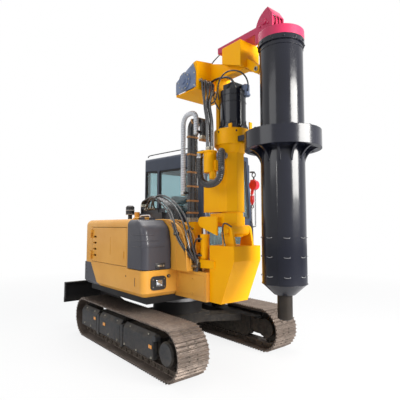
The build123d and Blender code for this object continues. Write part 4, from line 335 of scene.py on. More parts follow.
def metal_finish(name, tone, second_tone, under_tone, shine, metal=0.0, coat=0.0, gloss=0.5, cloud_size=2.5,
                 settled=(0.35, 0.35, 0.9), worn_edge=(0.006, 0.8), grains=(70.0, 0.02), dust_tone=DUST):
    """A painted or bare metal with tones from 0 to 255, dust, worn edges and grain.

    settled is the dust on top, low down, and the height it reaches; worn_edge is a radius and an amount;
    grains is a size and a depth; shine is the roughness of the first and the second tone.
    """
    material, nodes, links = new_material(name)
    tree = material.node_tree
    shader = nodes["Principled BSDF"]
    place = nodes.new("ShaderNodeTexCoord").outputs["Object"]
    on_top, low_down, height = settled
    cloudy = use_group(tree, clouds, place, Size=cloud_size).outputs["Mask"]
    dusty = use_group(tree, dust, place, On_Top=on_top, Low_Down=low_down, Height=height).outputs["Mask"]
    rounded = use_group(tree, edges, place, Radius=worn_edge[0], Amount=worn_edge[1])
    grained = use_group(tree, grain, place, Size=grains[0], Depth=1.0).outputs["Height"]
    colour = mix_colour(tree, cloudy, linear(*tone), linear(*second_tone))
    colour = mix_colour(tree, dusty, colour, (*dust_tone, 1))
    colour = mix_colour(tree, rounded.outputs["Mask"], colour, linear(*under_tone))
    links.new(colour, shader.inputs["Base Color"])
    matt = calculate(tree, "MULTIPLY", dusty, DUST_MATT)
    rough = calculate(tree, "ADD", spread(tree, cloudy, 0.0, 1.0, *shine), matt, clamp=True)
    links.new(rough, shader.inputs["Roughness"])
    bump = nodes.new("ShaderNodeBump")
    bump.inputs["Strength"].default_value = 0.35
    bump.inputs["Distance"].default_value = grains[1]
    links.new(grained, bump.inputs["Height"])
    links.new(rounded.outputs["Normal"], bump.inputs["Normal"])
    links.new(bump.outputs["Normal"], shader.inputs["Normal"])
    for label, value in (("Metallic", metal), ("Specular IOR Level", gloss), ("Coat Weight", coat),
                         ("Coat Roughness", 0.08)):
        shader.inputs[label].default_value = value
    return material


BODY_YELLOW = metal_finish(
    "body_yellow", (226, 164, 66), (216, 152, 56), (120, 84, 40), (0.32, 0.42), coat=0.12, gloss=0.3,
    settled=(0.22, 0.4, 1.0), grains=(22.0, 0.004))
MAST_YELLOW = metal_finish(
    "mast_yellow", (252, 182, 3), (248, 170, 2), (150, 92, 20), (0.34, 0.46), coat=0.04, gloss=0.12,
    settled=(0.1, 0.0, 0.9), worn_edge=(0.006, 0.6), grains=(24.0, 0.005))
PANEL_GREY = metal_finish(
    "panel_grey", (68, 68, 75), (60, 60, 67), (38, 38, 42), (0.3, 0.4), coat=0.1, gloss=0.3,
    settled=(0.12, 0.2, 0.9), worn_edge=(0.006, 0.3), grains=(30.0, 0.004))
CAB_GREY = metal_finish(
    "cab_grey", (50, 59, 77), (43, 51, 67), (30, 32, 36), (0.34, 0.44), coat=0.06, gloss=0.25,
    settled=(0.15, 0.0, 0.9), worn_edge=(0.006, 0.3), grains=(40.0, 0.004))
COVER_GREY = metal_finish(
    "cover_grey", (56, 58, 62), (44, 46, 50), (96, 94, 92), (0.46, 0.6), gloss=0.2, settled=(0.5, 0.3, 0.5),
    worn_edge=(0.006, 0.7), grains=(55.0, 0.01))
FRAME_BLACK = metal_finish(
    "frame_black", (30, 29, 30), (23, 22, 23), (84, 80, 76), (0.45, 0.6), gloss=0.18,
    settled=(0.35, 0.3, 0.5), worn_edge=(0.006, 0.6), grains=(50.0, 0.01))
GLOSS_BLACK = metal_finish(
    "gloss_black", (15, 16, 25), (21, 23, 34), (62, 64, 74), (0.15, 0.26), coat=0.2, gloss=0.28,
    cloud_size=1.5, settled=(0.12, 0.0, 0.9), worn_edge=(0.006, 0.5), grains=(14.0, 0.006),
    dust_tone=(0.2, 0.2, 0.21))
HEAD_RED = metal_finish(
    "head_red", (192, 50, 92), (174, 38, 76), (235, 120, 140), (0.28, 0.4), coat=0.12, gloss=0.3,
    settled=(0.05, 0.0, 0.9), worn_edge=(0.006, 0.5), grains=(20.0, 0.006))
# The pale worn edges of the tracks are partly real polished wear and partly painted highlight on the lit
# grousers and fronts.
TRACK_STEEL = metal_finish(
    "track_steel", (112, 99, 90), (68, 59, 53), (222, 206, 194), (0.36, 0.6), metal=0.55, cloud_size=9.0,
    settled=(0.4, 0.22, 0.7), worn_edge=(0.005, 2.4), grains=(90.0, 0.02), dust_tone=(0.34, 0.28, 0.24))
BARE_STEEL = metal_finish(
    "bare_steel", (150, 150, 152), (120, 120, 122), (205, 205, 208), (0.28, 0.42), metal=0.95,
    cloud_size=12.0, settled=(0.2, 0.2, 0.9), worn_edge=(0.002, 0.6), grains=(160.0, 0.004))
RAM_CHROME = metal_finish(
    "ram_chrome", (215, 216, 220), (200, 202, 206), (225, 225, 228), (0.07, 0.12), metal=1.0, cloud_size=6.0,
    settled=(0.05, 0.0, 0.9), worn_edge=(0.002, 0.2), grains=(220.0, 0.001))
DARK_STEEL = metal_finish(
    "dark_steel", (44, 38, 33), (30, 26, 23), (150, 140, 132), (0.34, 0.55), metal=0.4, gloss=0.3,
    cloud_size=9.0, settled=(0.2, 0.1, 0.9), worn_edge=(0.003, 0.6), grains=(70.0, 0.012))
ZINC = metal_finish(
    "zinc_bolts", (176, 172, 160), (150, 146, 134), (210, 208, 200), (0.3, 0.45), metal=0.9, cloud_size=30.0,
    settled=(0.3, 0.3, 0.9), worn_edge=(0.002, 0.5), grains=(200.0, 0.003))
WINCH_BLUE = metal_finish(
    "winch_blue", (104, 120, 152), (80, 96, 126), (150, 160, 178), (0.32, 0.45), coat=0.2, cloud_size=8.0,
    settled=(0.2, 0.0, 0.9), worn_edge=(0.006, 0.6), grains=(60.0, 0.004))
VALVE_BLACK = metal_finish(
    "valve_black", (40, 40, 46), (28, 28, 32), (120, 118, 116), (0.3, 0.5), metal=0.3, coat=0.2,
    cloud_size=9.0, settled=(0.3, 0.0, 0.9), worn_edge=(0.006, 0.8), grains=(80.0, 0.006))
TRACK_DARK = metal_finish(
    "track_dark", (66, 58, 52), (46, 40, 36), (150, 136, 122), (0.42, 0.62), metal=0.5, cloud_size=12.0,
    settled=(0.4, 0.4, 0.9), worn_edge=(0.002, 1.0), grains=(120.0, 0.008))
ROPE_STEEL = metal_finish(
    "rope_steel", (74, 74, 78), (52, 52, 56), (140, 140, 144), (0.32, 0.5), metal=0.85, cloud_size=30.0,
    settled=(0.2, 0.0, 0.9), worn_edge=(0.001, 0.5), grains=(260.0, 0.002))
MARKER_ORANGE = metal_finish(
    "marker_orange", (255, 170, 20), (246, 150, 12), (255, 196, 70), (0.25, 0.32), coat=0.5, cloud_size=18.0,
    settled=(0.0, 0.15, 0.9), worn_edge=(0.002, 0.2), grains=(320.0, 0.002))
print("metal finishes:", len(bpy.data.materials))

# %% [markdown]
# Rubber and plastic have no metal under them: they are matt, slightly cloudy, and greyer where dust sits.
# Glass is the opposite. It keeps a plain shader, because a clear pane is mostly its reflection, with only a
# thin film of dirt in the roughness.

# %% Rubber, plastic, cloth and glass
def soft_finish(name, tone, second_tone, shine, grains=(120.0, 0.01), on_top=0.3, cloud_size=9.0, gloss=0.5):
    """A rubber, plastic or cloth finish."""
    both_shines = (shine, min(1.0, shine + 0.12))
    return metal_finish(name, tone, second_tone, second_tone, both_shines, gloss=gloss, grains=grains,
                        cloud_size=cloud_size, settled=(on_top, 0.15, 0.9), worn_edge=(0.003, 0.2))


HOSE_RUBBER = soft_finish("hose_rubber", (27, 27, 31), (42, 42, 46), 0.2, (260.0, 0.003), gloss=0.9)
BLACK_PLASTIC = soft_finish("black_plastic", (22, 22, 25), (32, 32, 36), 0.42, (300.0, 0.002))
SEAL_RUBBER = soft_finish("seal_rubber", (16, 16, 18), (24, 24, 26), 0.6)
SEAT_CLOTH = soft_finish("seat_cloth", (44, 44, 50), (30, 30, 34), 0.85, (420.0, 0.004), cloud_size=5.0)
SLEEVE_WHITE = soft_finish(
    "sleeve_white", (222, 224, 228), (190, 194, 200), 0.28, (90.0, 0.003), on_top=0.1, cloud_size=20.0)
STRAP_TAN = soft_finish(
    "strap_tan", (186, 140, 92), (158, 112, 66), 0.6, (240.0, 0.004), on_top=0.1, cloud_size=24.0)
HOIST_RED = soft_finish("hoist_red", (214, 34, 58), (190, 22, 44), 0.3, (80.0, 0.003), on_top=0.05)


def clear_pane(name, tint, roughness):
    """Window glass with a little dirt in its gloss."""
    material, nodes, links = new_material(name)
    shader = nodes["Principled BSDF"]
    shader.inputs["Base Color"].default_value = tint
    shader.inputs["Transmission Weight"].default_value = 0.92
    shader.inputs["IOR"].default_value = 1.45
    place = nodes.new("ShaderNodeTexCoord").outputs["Object"]
    smear = use_group(material.node_tree, clouds, place, Size=5.0).outputs["Mask"]
    film = spread(material.node_tree, smear, 0.0, 1.0, roughness, roughness + 0.07)
    links.new(film, shader.inputs["Roughness"])
    return material


WINDOW_GLASS = clear_pane("window_glass", (0.50, 0.67, 0.70, 1), 0.01)
LAMP_GLASS = clear_pane("lamp_glass", (0.95, 0.97, 1.0, 1), 0.03)
print("finishes in all:", len(bpy.data.materials))

# %% [markdown]
# The pieces that come from the model already have the right form, so they only get a finish. One table ties
# each piece to its paint.

# %% Finish the model's pieces
FINISH = {
    TRACK_STEEL: ("track_right", "track_left"),
    FRAME_BLACK: ("side_frame_right", "side_frame_left", "sprockets", "idlers", "rollers", "centre_frame",
                  "dozer_blade", "blade_ram_barrel", "revolving_frame"),
    COVER_GREY: ("frame_covers",),
    WINCH_BLUE: ("winch",),
    BARE_STEEL: ("slew_ring_lower", "slew_ring_upper", "engine"),
    DARK_STEEL: ("striker",),
    RAM_CHROME: ("blade_ram_rod", "tilt_ram_rods"),
    BODY_YELLOW: ("skirts", "hood", "side_cover", "front_fender", "nose_frame", "exhaust"),
    PANEL_GREY: ("counterweight", "nose_cover"),
    CAB_GREY: ("cab_shell", "cab_door"),
    WINDOW_GLASS: ("cab_glass", "cab_door_glass"),
    BLACK_PLASTIC: ("fuel_tank", "cab_controls", "air_precleaner", "headlamp"),
    SEAT_CLOTH: ("seat",),
    MAST_YELLOW: ("mast_base", "mast_column", "mast_sleeve", "mast_cap", "tilt_ram_barrels", "crown",
                  "mast_valve", "valve_stack"),
    GLOSS_BLACK: ("drive_motor", "hammer_casing", "tool_clamp"),
    HEAD_RED: ("head_frame", "head_sheaves"),
    VALVE_BLACK: ("valve_bank",),
    HOSE_RUBBER: ("hose_bundle", "hood_hoses", "crown_hoses"),
}
for finish, names in FINISH.items():
    for name in names:
        machine[name].data.materials.clear()
        machine[name].data.materials.append(finish)
unpainted = sorted(set(machine) - {n for names in FINISH.values() for n in names})
print("pieces without a finish:", unpainted)

# %% [markdown]
# Small parts repeat all over the machine, so each kind has one helper: a bolt is a washer, a six-sided head
# and a shallow crown, a bar is a cone operator laid between two points, a block is a cube with bevelled
# edges. Two more helpers set things evenly in a circle, on a level face or on a side face.
# A hose is a smooth spline through a few points. Turned to a mesh without any thickness, the same spline
# gives a walkable line, along which straps, ribs and spiral wraps are laid.

# %% Tools for small pieces
UP = Vector((0, 0, 1))
CENTRE_Y = -0.190


def finish_piece(name, bm, finish, body, corner=32.0, closed=True):
    """Make a bmesh a finished piece that rides on a body."""
    if closed:
        bmesh.ops.recalc_face_normals(bm, faces=bm.faces)
    mesh = bpy.data.meshes.new(name)
    bm.to_mesh(mesh)
    bm.free()
    mesh.polygons.foreach_set("use_smooth", [True] * len(mesh.polygons))
    mesh.set_sharp_from_angle(angle=math.radians(corner))
    mesh.materials.append(finish)
    piece = bpy.data.objects.new(name, mesh)
    bpy.context.scene.collection.objects.link(piece)
    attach(piece, body)
    return piece


def facing_matrix(place, outward):
    """Where a part stands whose own Z axis points outward."""
    return Matrix.Translation(Vector(place)) @ Vector(outward).to_track_quat("Z", "Y").to_matrix().to_4x4()


def disc(bm, place, outward, radius, height, sides=12, top=None):
    """A round or many-sided slug that stands on a surface."""
    middle = Vector(place) + Vector(outward).normalized() * height / 2
    return bmesh.ops.create_cone(bm, cap_ends=True, segments=sides, radius1=radius,
                                 radius2=radius if top is None else top, depth=height,
                                 matrix=facing_matrix(middle, outward))["verts"]


def bolt(bm, place, outward, size=0.012):
    """A hexagon bolt head on its washer."""
    out = Vector(outward).normalized()
    foot = Vector(place) - out * 0.001
    disc(bm, foot, out, size * 1.25, size * 0.3 + 0.001, 12)
    disc(bm, foot + out * size * 0.3, out, size, size * 0.6, 6)
    disc(bm, foot + out * size * 0.9, out, size * 0.95, size * 0.14, 6, size * 0.7)


def way_at(angle):
    """The level direction at an angle."""
    return Vector((math.cos(angle), math.sin(angle), 0))


def round_post(middle, count, radius, height, phase=0.0):
    """Outward directions and places, evenly round a vertical axis."""
    for index in range(count):
        out = way_at(math.tau * (index + phase) / count)
        yield out, middle + out * radius + UP * height


def bolt_wheel(bm, x, y, z, outward, count, radius, size, phase=0.0):
    """A circle of bolts on a face that looks to the machine's side."""
    for index in range(count):
        angle = math.tau * (index + phase) / count
        bolt(bm, (x + radius * math.cos(angle), y, z + radius * math.sin(angle)), (0, outward, 0), size)


def bar(bm, start, end, radius, sides=12, tip=None):
    """A round bar between two points."""
    start, end = Vector(start), Vector(end)
    return disc(bm, start, end - start, radius, (end - start).length, sides, tip)


def block(bm, middle, size, edge=0.003, turn=None):
    """A block with rounded edges."""
    made = bmesh.ops.create_cube(bm, size=1.0)["verts"]
    bmesh.ops.scale(bm, vec=size, verts=made)
    if edge:
        edges = list({e for v in made for e in v.link_edges})
        made = bmesh.ops.bevel(bm, geom=edges, offset=edge, offset_type="OFFSET", segments=2, profile=0.5,
                               affect="EDGES", material=-1)["verts"]
        made = list({v for f in {f for v in made for f in v.link_faces} for v in f.verts})
    if turn is not None:
        bmesh.ops.transform(bm, matrix=turn, verts=made)
    bmesh.ops.translate(bm, vec=Vector(middle), verts=made)
    return made


def ring(bm, middle, axis, radius, thick, sides=24, round_sides=8):
    """A torus: a small circle spun round an axis."""
    axis = Vector(axis).normalized()
    across = axis.orthogonal().normalized()
    start = facing_matrix(Vector(middle) + across * radius, axis.cross(across))
    made = bmesh.ops.create_circle(bm, segments=round_sides, radius=thick, matrix=start)
    edges = list({e for v in made["verts"] for e in v.link_edges})
    bmesh.ops.spin(bm, geom=made["verts"] + edges, cent=Vector(middle), axis=axis, angle=math.tau,
                   steps=sides, use_merge=True)


def spline_mesh(points, radius=0.0, smoothness=8, roundness=2):
    """A smooth line through control points: a tube, or a bare line when it has no radius."""
    curve = bpy.data.curves.new("line", "CURVE")
    curve.dimensions = "3D"
    curve.bevel_depth = radius
    curve.bevel_resolution = roundness
    curve.use_fill_caps = True
    curve.resolution_u = smoothness
    spline = curve.splines.new("NURBS")
    spline.points.add(len(points) - 1)
    for point, place in zip(spline.points, points):
        point.co = (*place, 1)
    spline.order_u = 3
    spline.use_endpoint_u = True
    holder = bpy.data.objects.new("line", curve)
    mesh = bpy.data.meshes.new_from_object(holder)
    bpy.data.objects.remove(holder)
    bpy.data.curves.remove(curve)
    return mesh


def hose(bm, points, radius, roundness=2, smoothness=8):
    """Add a smooth round hose to a bmesh."""
    mesh = spline_mesh(points, radius, roundness=roundness, smoothness=smoothness)
    bm.from_mesh(mesh)
    bpy.data.meshes.remove(mesh)


class Walk:
    """A smooth line that can be asked for the place and directions at any distance along it."""

    def __init__(self, points, smoothness=24):
        mesh = spline_mesh(points, smoothness=smoothness)
        self.places = [v.co.copy() for v in mesh.vertices]
        bpy.data.meshes.remove(mesh)
        self.marks = [0.0]
        for a, b in zip(self.places, self.places[1:]):
            self.marks.append(self.marks[-1] + (b - a).length)
        self.length = self.marks[-1]
        self.normals = []
        normal = (self.places[1] - self.places[0]).orthogonal().normalized()
        for i, place in enumerate(self.places):
            ahead = self.places[min(i + 1, len(self.places) - 1)]
            behind = self.places[max(i - 1, 0)]
            tangent = (ahead - behind).normalized()
            normal = (normal - tangent * normal.dot(tangent)).normalized()
            self.normals.append(normal)

    def at(self, distance):
        """Place, tangent, normal and side at a distance."""
        distance = min(max(distance, 0.0), self.length)
        i = 0
        low, high = 0, len(self.marks) - 2
        while low <= high:
            i = (low + high) // 2
            if self.marks[i + 1] < distance:
                low = i + 1
            elif self.marks[i] > distance:
                high = i - 1
            else:
                break
        share = (distance - self.marks[i]) / max(1e-9, self.marks[i + 1] - self.marks[i])
        place = self.places[i].lerp(self.places[i + 1], share)
        tangent = (self.places[i + 1] - self.places[i]).normalized()
        normal = self.normals[i].lerp(self.normals[i + 1], share)
        normal = (normal - tangent * normal.dot(tangent)).normalized()
        return place, tangent, normal, tangent.cross(normal)


def spiral_wrap(bm, walk, start, end, radius, pitch, width, thickness=0.002, crown=0.002, sides=14):
    """A band wound round a line: a flat grid bent into a helix, then given its thickness."""
    turns = (end - start) / pitch
    made = bmesh.ops.create_grid(bm, x_segments=int(turns * sides), y_segments=4, size=1.0)["verts"]
    for vert in made:
        along, across = (vert.co.x + 1) / 2, vert.co.y
        place, tangent, normal, side = walk.at(start + along * (end - start) + across * width / 2)
        angle = along * turns * math.tau
        out = normal * math.cos(angle) + side * math.sin(angle)
        vert.co = place + out * (radius + crown * (1 - across ** 2))
    faces = list({f for v in made for f in v.link_faces})
    bmesh.ops.recalc_face_normals(bm, faces=faces)
    bmesh.ops.solidify(bm, geom=faces, thickness=-thickness)


def ferrule(bm, place, direction, radius, length=0.045):
    """The crimped steel end of a hose with its nut."""
    way = Vector(direction).normalized()
    spot = Vector(place)
    disc(bm, spot, way, radius * 1.2, length * 0.62, 16)
    disc(bm, spot + way * length * 0.62, way, radius * 1.42, length * 0.3, 6)
    for share in (0.12, 0.32, 0.5):
        ring(bm, spot + way * length * share, way, radius * 1.2, radius * 0.09, 16, 4)


print("tools ready")

# %% [markdown]
# The pack beside the mast is ten hydraulic hoses held flat by tan straps. A single slab would never catch
# the light as they do, so each hose is its own smooth tube, and together they replace the plain solid of the
# model. They start in crimped steel ends on the valve stack, turn over at the top and come down behind.

# %% Strapped hose pack
PACK_Y = -0.300
PACK_FOOT = 1.664
PACK_CREST = 2.918
HOSE_RADIUS, HOSE_PITCH, LAYER = 0.0132, 0.0285, 0.0128
PACK_LINE = ((0.720, PACK_FOOT), (0.720, 2.00), (0.720, 2.35), (0.720, 2.66), (0.720, PACK_CREST),
             (0.960, PACK_CREST), (0.960, 2.70), (0.960, 2.646))
PACK_MIDDLE_X = 0.840


def pack_route(y, shift, loose=0.0):
    """The pack's line at one hose: shift moves it towards the outside of the bend."""
    route = []
    for x, z in PACK_LINE:
        x += -shift if x < PACK_MIDDLE_X else shift
        z += shift if z == PACK_CREST else 0.0
        route.append((x + random.uniform(-loose, loose), y + random.uniform(-loose, loose), z))
    return route


pack = bmesh.new()
pack_ends = bmesh.new()
for layer in (-LAYER, LAYER):
    for column in range(5):
        route = pack_route(PACK_Y + (column - 2) * HOSE_PITCH, layer, 0.0012)
        hose(pack, route, HOSE_RADIUS)
        for end in (route[0], route[-1]):
            ferrule(pack_ends, end, UP, 0.0125, 0.055)
hose_pack = finish_piece("hose_pack", pack, HOSE_RUBBER, "upper")
finish_piece("hose_pack_ends", pack_ends, ZINC, "upper")

straps = bmesh.new()
pack_walk = Walk(pack_route(PACK_Y, 0.0))
for height in (1.776, 1.924, 2.105, 2.282, 2.504, 2.727, 2.94, 3.42):
    place, tangent, normal, side = pack_walk.at(height - PACK_FOOT)
    across = Vector((0, 1, 0))
    turn = Matrix((across, tangent.cross(across).normalized(), tangent)).transposed().to_4x4()
    block(straps, place, (0.156, 0.0575, 0.024), 0.006, turn)
    block(straps, place + across * -0.055, (0.034, 0.064, 0.018), 0.003, turn)
finish_piece("hose_straps", straps, STRAP_TAN, "upper")
print("hose pack length", round(pack_walk.length, 2), "m")

# %% [markdown]
# A thicker hose beside the pack carries a white spiral guard. On the real one it is a flat plastic strip
# wound round the hose, which opens a little on the outside of the bend. Here a long flat grid is bent into
# that helix along the hose's own line, and only then gets its thickness.

# %% White spiral guard
GUARD_PITCH = 0.0300
GUARD_ROUTE = [(0.669, -0.410, 1.985), (0.669, -0.410, 2.30), (0.669, -0.410, 2.55), (0.669, -0.410, 2.72),
               (0.669, -0.410, 2.992), (0.925, -0.410, 2.992), (0.925, -0.410, 2.80), (0.925, -0.410, 2.700)]
guarded = bmesh.new()
hose(guarded, GUARD_ROUTE, 0.0235, roundness=3)
finish_piece("guarded_hose", guarded, HOSE_RUBBER, "upper")
guard = bmesh.new()
guard_walk = Walk(GUARD_ROUTE)
spiral_wrap(guard, guard_walk, 0.012, guard_walk.length - 0.012, 0.0262, GUARD_PITCH, 0.0262, 0.0022, 0.0026)
finish_piece("spiral_guard", guard, SLEEVE_WHITE, "upper", closed=False)
ends = bmesh.new()
for end in (GUARD_ROUTE[0], GUARD_ROUTE[-1]):
    ferrule(ends, end, UP, 0.0225, 0.06)
finish_piece("guarded_hose_ends", ends, ZINC, "upper")
ties = bmesh.new()
for x, z in ((0.688, 2.02), (0.942, 2.74)):
    block(ties, (x, -0.389, z), (0.06, 0.075, 0.022), 0.004)
finish_piece("guard_ties", ties, BLACK_PLASTIC, "upper")
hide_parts("hose_bundle")
print("guard turns:", round(guard_walk.length / GUARD_PITCH))

# %% [markdown]
# Six hoses fall from the winch box to the rotary valve on the mast, and a thick ribbed one hangs under the
# valve in a loop. The ribs are the same winding as the white guard, closer and rounder. Short steel elbows
# join the hoses to the box, and two thinner hoses arch over the neck to the drive motor. A raised blue-grey
# cover closes the winch's gear on this side; its outline is one face, extruded and bevelled.

# %% Hoses of the winch box and the loop
FALL_STARTS = (-0.418, -0.390, -0.362, -0.334, -0.306, -0.278)
FALL_ENDS = ((-0.046, 0.010), (-0.022, -0.026), (-0.008, 0.022),
             (0.010, -0.034), (0.028, 0.012), (0.050, -0.012))
falls = bmesh.new()
fittings = bmesh.new()
for index, (y, (dx, dy)) in enumerate(zip(FALL_STARTS, FALL_ENDS)):
    top = 3.352 - 0.014 * (index % 2)
    x, foot = 1.224 + dx, -0.450 + dy
    route = [(1.003, y, top), (1.050 + 0.006 * index, y, top), (1.085 + dx * 0.5, y - 0.01, 3.235),
             (x - 0.075, foot + 0.02, 3.00), (x, foot, 2.80), (x, foot, 2.62), (x, foot, 2.452)]
    hose(falls, route, 0.0128)
    ferrule(fittings, route[0], (1, 0, 0), 0.0125, 0.040)
    disc(fittings, (1.0, y, top), (1, 0, 0), 0.021, 0.012, 6)
    ferrule(fittings, route[-1], (0, 0, 1), 0.0125, 0.050)
thin_arc = [(1.215, -0.300, 3.08), (1.215, -0.345, 3.22), (1.37, -0.365, 3.355), (1.56, -0.30, 3.325),
            (1.575, -0.17, 3.22), (1.500, -0.120, 3.150)]
thick_arc = [(1.003, -0.262, 3.350), (1.10, -0.268, 3.365), (1.22, -0.285, 3.345), (1.36, -0.285, 3.315),
             (1.425, -0.255, 3.235), (1.400, -0.225, 3.160)]
THIN, THICK = 0.0085, 0.0135
hose(falls, thin_arc, THIN)
hose(falls, thick_arc, THICK)
ferrule(fittings, thick_arc[0], (1, 0, 0), THICK, 0.045)
ferrule(fittings, thick_arc[-1], (0.1, -0.1, 1), THICK, 0.045)
ring_route = [(1.080, -0.300, 3.275), (1.115, -0.345, 3.190), (1.130, -0.385, 3.060), (1.185, -0.392, 3.018),
              (1.240, -0.380, 3.050), (1.245, -0.365, 3.130), (1.200, -0.350, 3.172), (1.150, -0.330, 3.140),
              (1.150, -0.310, 3.060), (1.195, -0.285, 2.98)]
hose(falls, ring_route, THIN)
crown_set = finish_piece("winch_box_hoses", falls, HOSE_RUBBER, "mast_slide")
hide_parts("crown_hoses")
finish_piece("winch_box_fittings", fittings, ZINC, "mast_slide")

COVER_OUTLINE = ((0.606, 3.264), (0.996, 3.264), (0.996, 3.450), (0.950, 3.566), (0.606, 3.424))
COVER_FACE_Y, COVER_RISE = -0.471, -0.012
cover = bmesh.new()
sheet = cover.faces.new([cover.verts.new((x, COVER_FACE_Y, z)) for x, z in COVER_OUTLINE])
raised = bmesh.ops.extrude_face_region(cover, geom=[sheet])["geom"]
lifted = [v for v in raised if isinstance(v, bmesh.types.BMVert)]
bmesh.ops.translate(cover, vec=(0, COVER_RISE, 0), verts=lifted)
bmesh.ops.recalc_face_normals(cover, faces=cover.faces)
bmesh.ops.bevel(cover, geom=list(cover.edges), offset=0.004, segments=2, profile=0.5, affect="EDGES",
                material=-1)
GEAR_X, GEAR_Z = 0.790, 3.385
for radius, rise in ((0.112, 0.016), (0.082, 0.026), (0.040, 0.040)):
    disc(cover, (GEAR_X, -0.482, GEAR_Z), (0, -1, 0), radius, rise, 48)
finish_piece("winch_gear_cover", cover, WINCH_BLUE, "mast_slide")
cover_bolts = bmesh.new()
bolt_wheel(cover_bolts, GEAR_X, -0.498, GEAR_Z, -1, 10, 0.097, 0.008)
for x, z in ((0.625, 3.285), (0.975, 3.285), (0.975, 3.44), (0.625, 3.41), (0.930, 3.535)):
    bolt(cover_bolts, (x, -0.483, z), (0, -1, 0), 0.008)
finish_piece("winch_gear_bolts", cover_bolts, ZINC, "mast_slide")

LOOP_ROUTE = [(1.110, -0.505, 2.434), (1.110, -0.505, 2.410), (1.110, -0.505, 2.066), (1.470, -0.505, 2.066),
              (1.470, -0.505, 2.400), (1.405, -0.440, 2.425), (1.345, -0.385, 2.400), (1.345, -0.324, 2.398)]
LOOP_RADIUS = 0.0300
loop = bmesh.new()
hose(loop, LOOP_ROUTE, LOOP_RADIUS, roundness=3)
loop_walk = Walk(LOOP_ROUTE)
spiral_wrap(loop, loop_walk, 0.03, loop_walk.length - 0.03, 0.0305, 0.0200, 0.0130, 0.002, 0.0060, sides=14)
finish_piece("ribbed_loop", loop, HOSE_RUBBER, "mast_slide", closed=False)
loop_ends = bmesh.new()
ferrule(loop_ends, LOOP_ROUTE[0], (0, 0, -1), LOOP_RADIUS, 0.06)
ferrule(loop_ends, LOOP_ROUTE[-1], (0, -1, 0), LOOP_RADIUS, 0.05)
finish_piece("loop_ends", loop_ends, BARE_STEEL, "mast_slide")
print("loop length", round(loop_walk.length, 2), "m")

# %% [markdown]
# Between the fender and the tilt cylinder a handful of short hoses run down to a small manifold, and four
# longer ones come from the valve bank on the hood, arch over the fender and end on the same manifold. Their
# crimped ends are what catches the light there.

# %% Hoses round the valve stack
SHORT_HOSE, LONG_HOSE = 0.0105, 0.0115
stack_hoses = bmesh.new()
stack_fittings = bmesh.new()
for index in range(5):
    y = -0.400 - 0.024 * (index % 3)
    high, low = 1.56 - 0.045 * index, 1.222 - 0.012 * index
    route = [(0.735, y + 0.015, high), (0.775, y - 0.03, high - 0.01), (0.855, y - 0.04, high - 0.12),
             (0.925 + 0.006 * index, y - 0.02, low + 0.10), (0.935 + 0.012 * index, y, low)]
    hose(stack_hoses, route, SHORT_HOSE)
    ferrule(stack_fittings, route[0], (0.6, -0.5, -0.1), SHORT_HOSE, 0.035)
    ferrule(stack_fittings, route[-1], UP, SHORT_HOSE, 0.035)
for z in (1.54, 1.60, 1.345):
    disc(stack_fittings, (0.79, -0.388, z), (0, -1, 0), 0.016, 0.022, 6)
    disc(stack_fittings, (0.84, -0.388, z - 0.02), (0, -1, 0), 0.013, 0.018, 6)
block(stack_hoses, (0.960, -0.425, 1.140), (0.11, 0.075, 0.105), 0.006)
for x in (0.925, 0.960, 0.995):
    disc(stack_fittings, (x, -0.462, 1.150), (0, -1, 0), 0.013, 0.020, 6)
pipe = [(1.462, -0.352, 1.600), (1.440, -0.400, 1.640), (1.385, -0.402, 1.640), (1.372, -0.402, 1.570),
        (1.384, -0.395, 1.480), (1.384, -0.380, 1.394)]
hose(stack_hoses, pipe, 0.0085)
ferrule(stack_fittings, pipe[-1], (0, 0, 1), 0.009, 0.030)
for index in range(5):
    y = -0.382 + 0.026 * index
    ferrule(stack_fittings, (-0.372, y, 1.888), (0, 0, 1), 0.0125, 0.045)
    disc(stack_fittings, (0.738, y, 1.199), (-1, 0, 0.1), 0.016, 0.03, 6)
FENDER_ROUTES = (
    [(-0.20, -0.405, 1.84), (-0.19, -0.430, 1.88), (-0.08, -0.430, 1.965), (0.09, -0.432, 1.965),
     (0.26, -0.440, 1.895), (0.47, -0.480, 1.775), (0.66, -0.562, 1.640), (0.735, -0.570, 1.515),
     (0.800, -0.570, 1.430), (0.890, -0.560, 1.340), (0.935, -0.500, 1.250), (0.932, -0.440, 1.192)],
    [(-0.13, -0.405, 1.85), (-0.12, -0.452, 1.90), (-0.02, -0.456, 2.000), (0.16, -0.456, 1.985),
     (0.34, -0.462, 1.905), (0.54, -0.490, 1.780), (0.70, -0.563, 1.650), (0.768, -0.571, 1.530),
     (0.835, -0.571, 1.440), (0.925, -0.550, 1.330), (0.955, -0.490, 1.250), (0.950, -0.440, 1.192)],
    [(-0.06, -0.405, 1.85), (-0.05, -0.425, 1.92), (0.06, -0.425, 2.020), (0.25, -0.425, 1.995),
     (0.45, -0.435, 1.915), (0.64, -0.465, 1.800), (0.80, -0.520, 1.690), (0.905, -0.550, 1.560),
     (0.952, -0.552, 1.430), (0.972, -0.530, 1.300), (0.970, -0.440, 1.192)],
    [(0.01, -0.405, 1.85), (0.02, -0.450, 1.92), (0.13, -0.450, 2.030), (0.33, -0.450, 2.010),
     (0.54, -0.455, 1.920), (0.73, -0.470, 1.800), (0.88, -0.500, 1.660), (0.955, -0.515, 1.520),
     (0.985, -0.510, 1.360), (0.988, -0.440, 1.192)])
for route in FENDER_ROUTES:
    hose(stack_hoses, route, LONG_HOSE)
    ferrule(stack_fittings, route[0], (0, -1, 0.4), LONG_HOSE, 0.035)
    ferrule(stack_fittings, route[-1], UP, LONG_HOSE, 0.040)
block(stack_hoses, (0.752, -0.570, 1.522), (0.075, 0.036, 0.045), 0.006)
for x in (0.735, 0.768):
    disc(stack_fittings, (x, -0.588, 1.522), (0, -1, 0), 0.011, 0.010, 6)
finish_piece("stack_hoses", stack_hoses, HOSE_RUBBER, "upper")
finish_piece("stack_fittings", stack_fittings, ZINC, "upper")

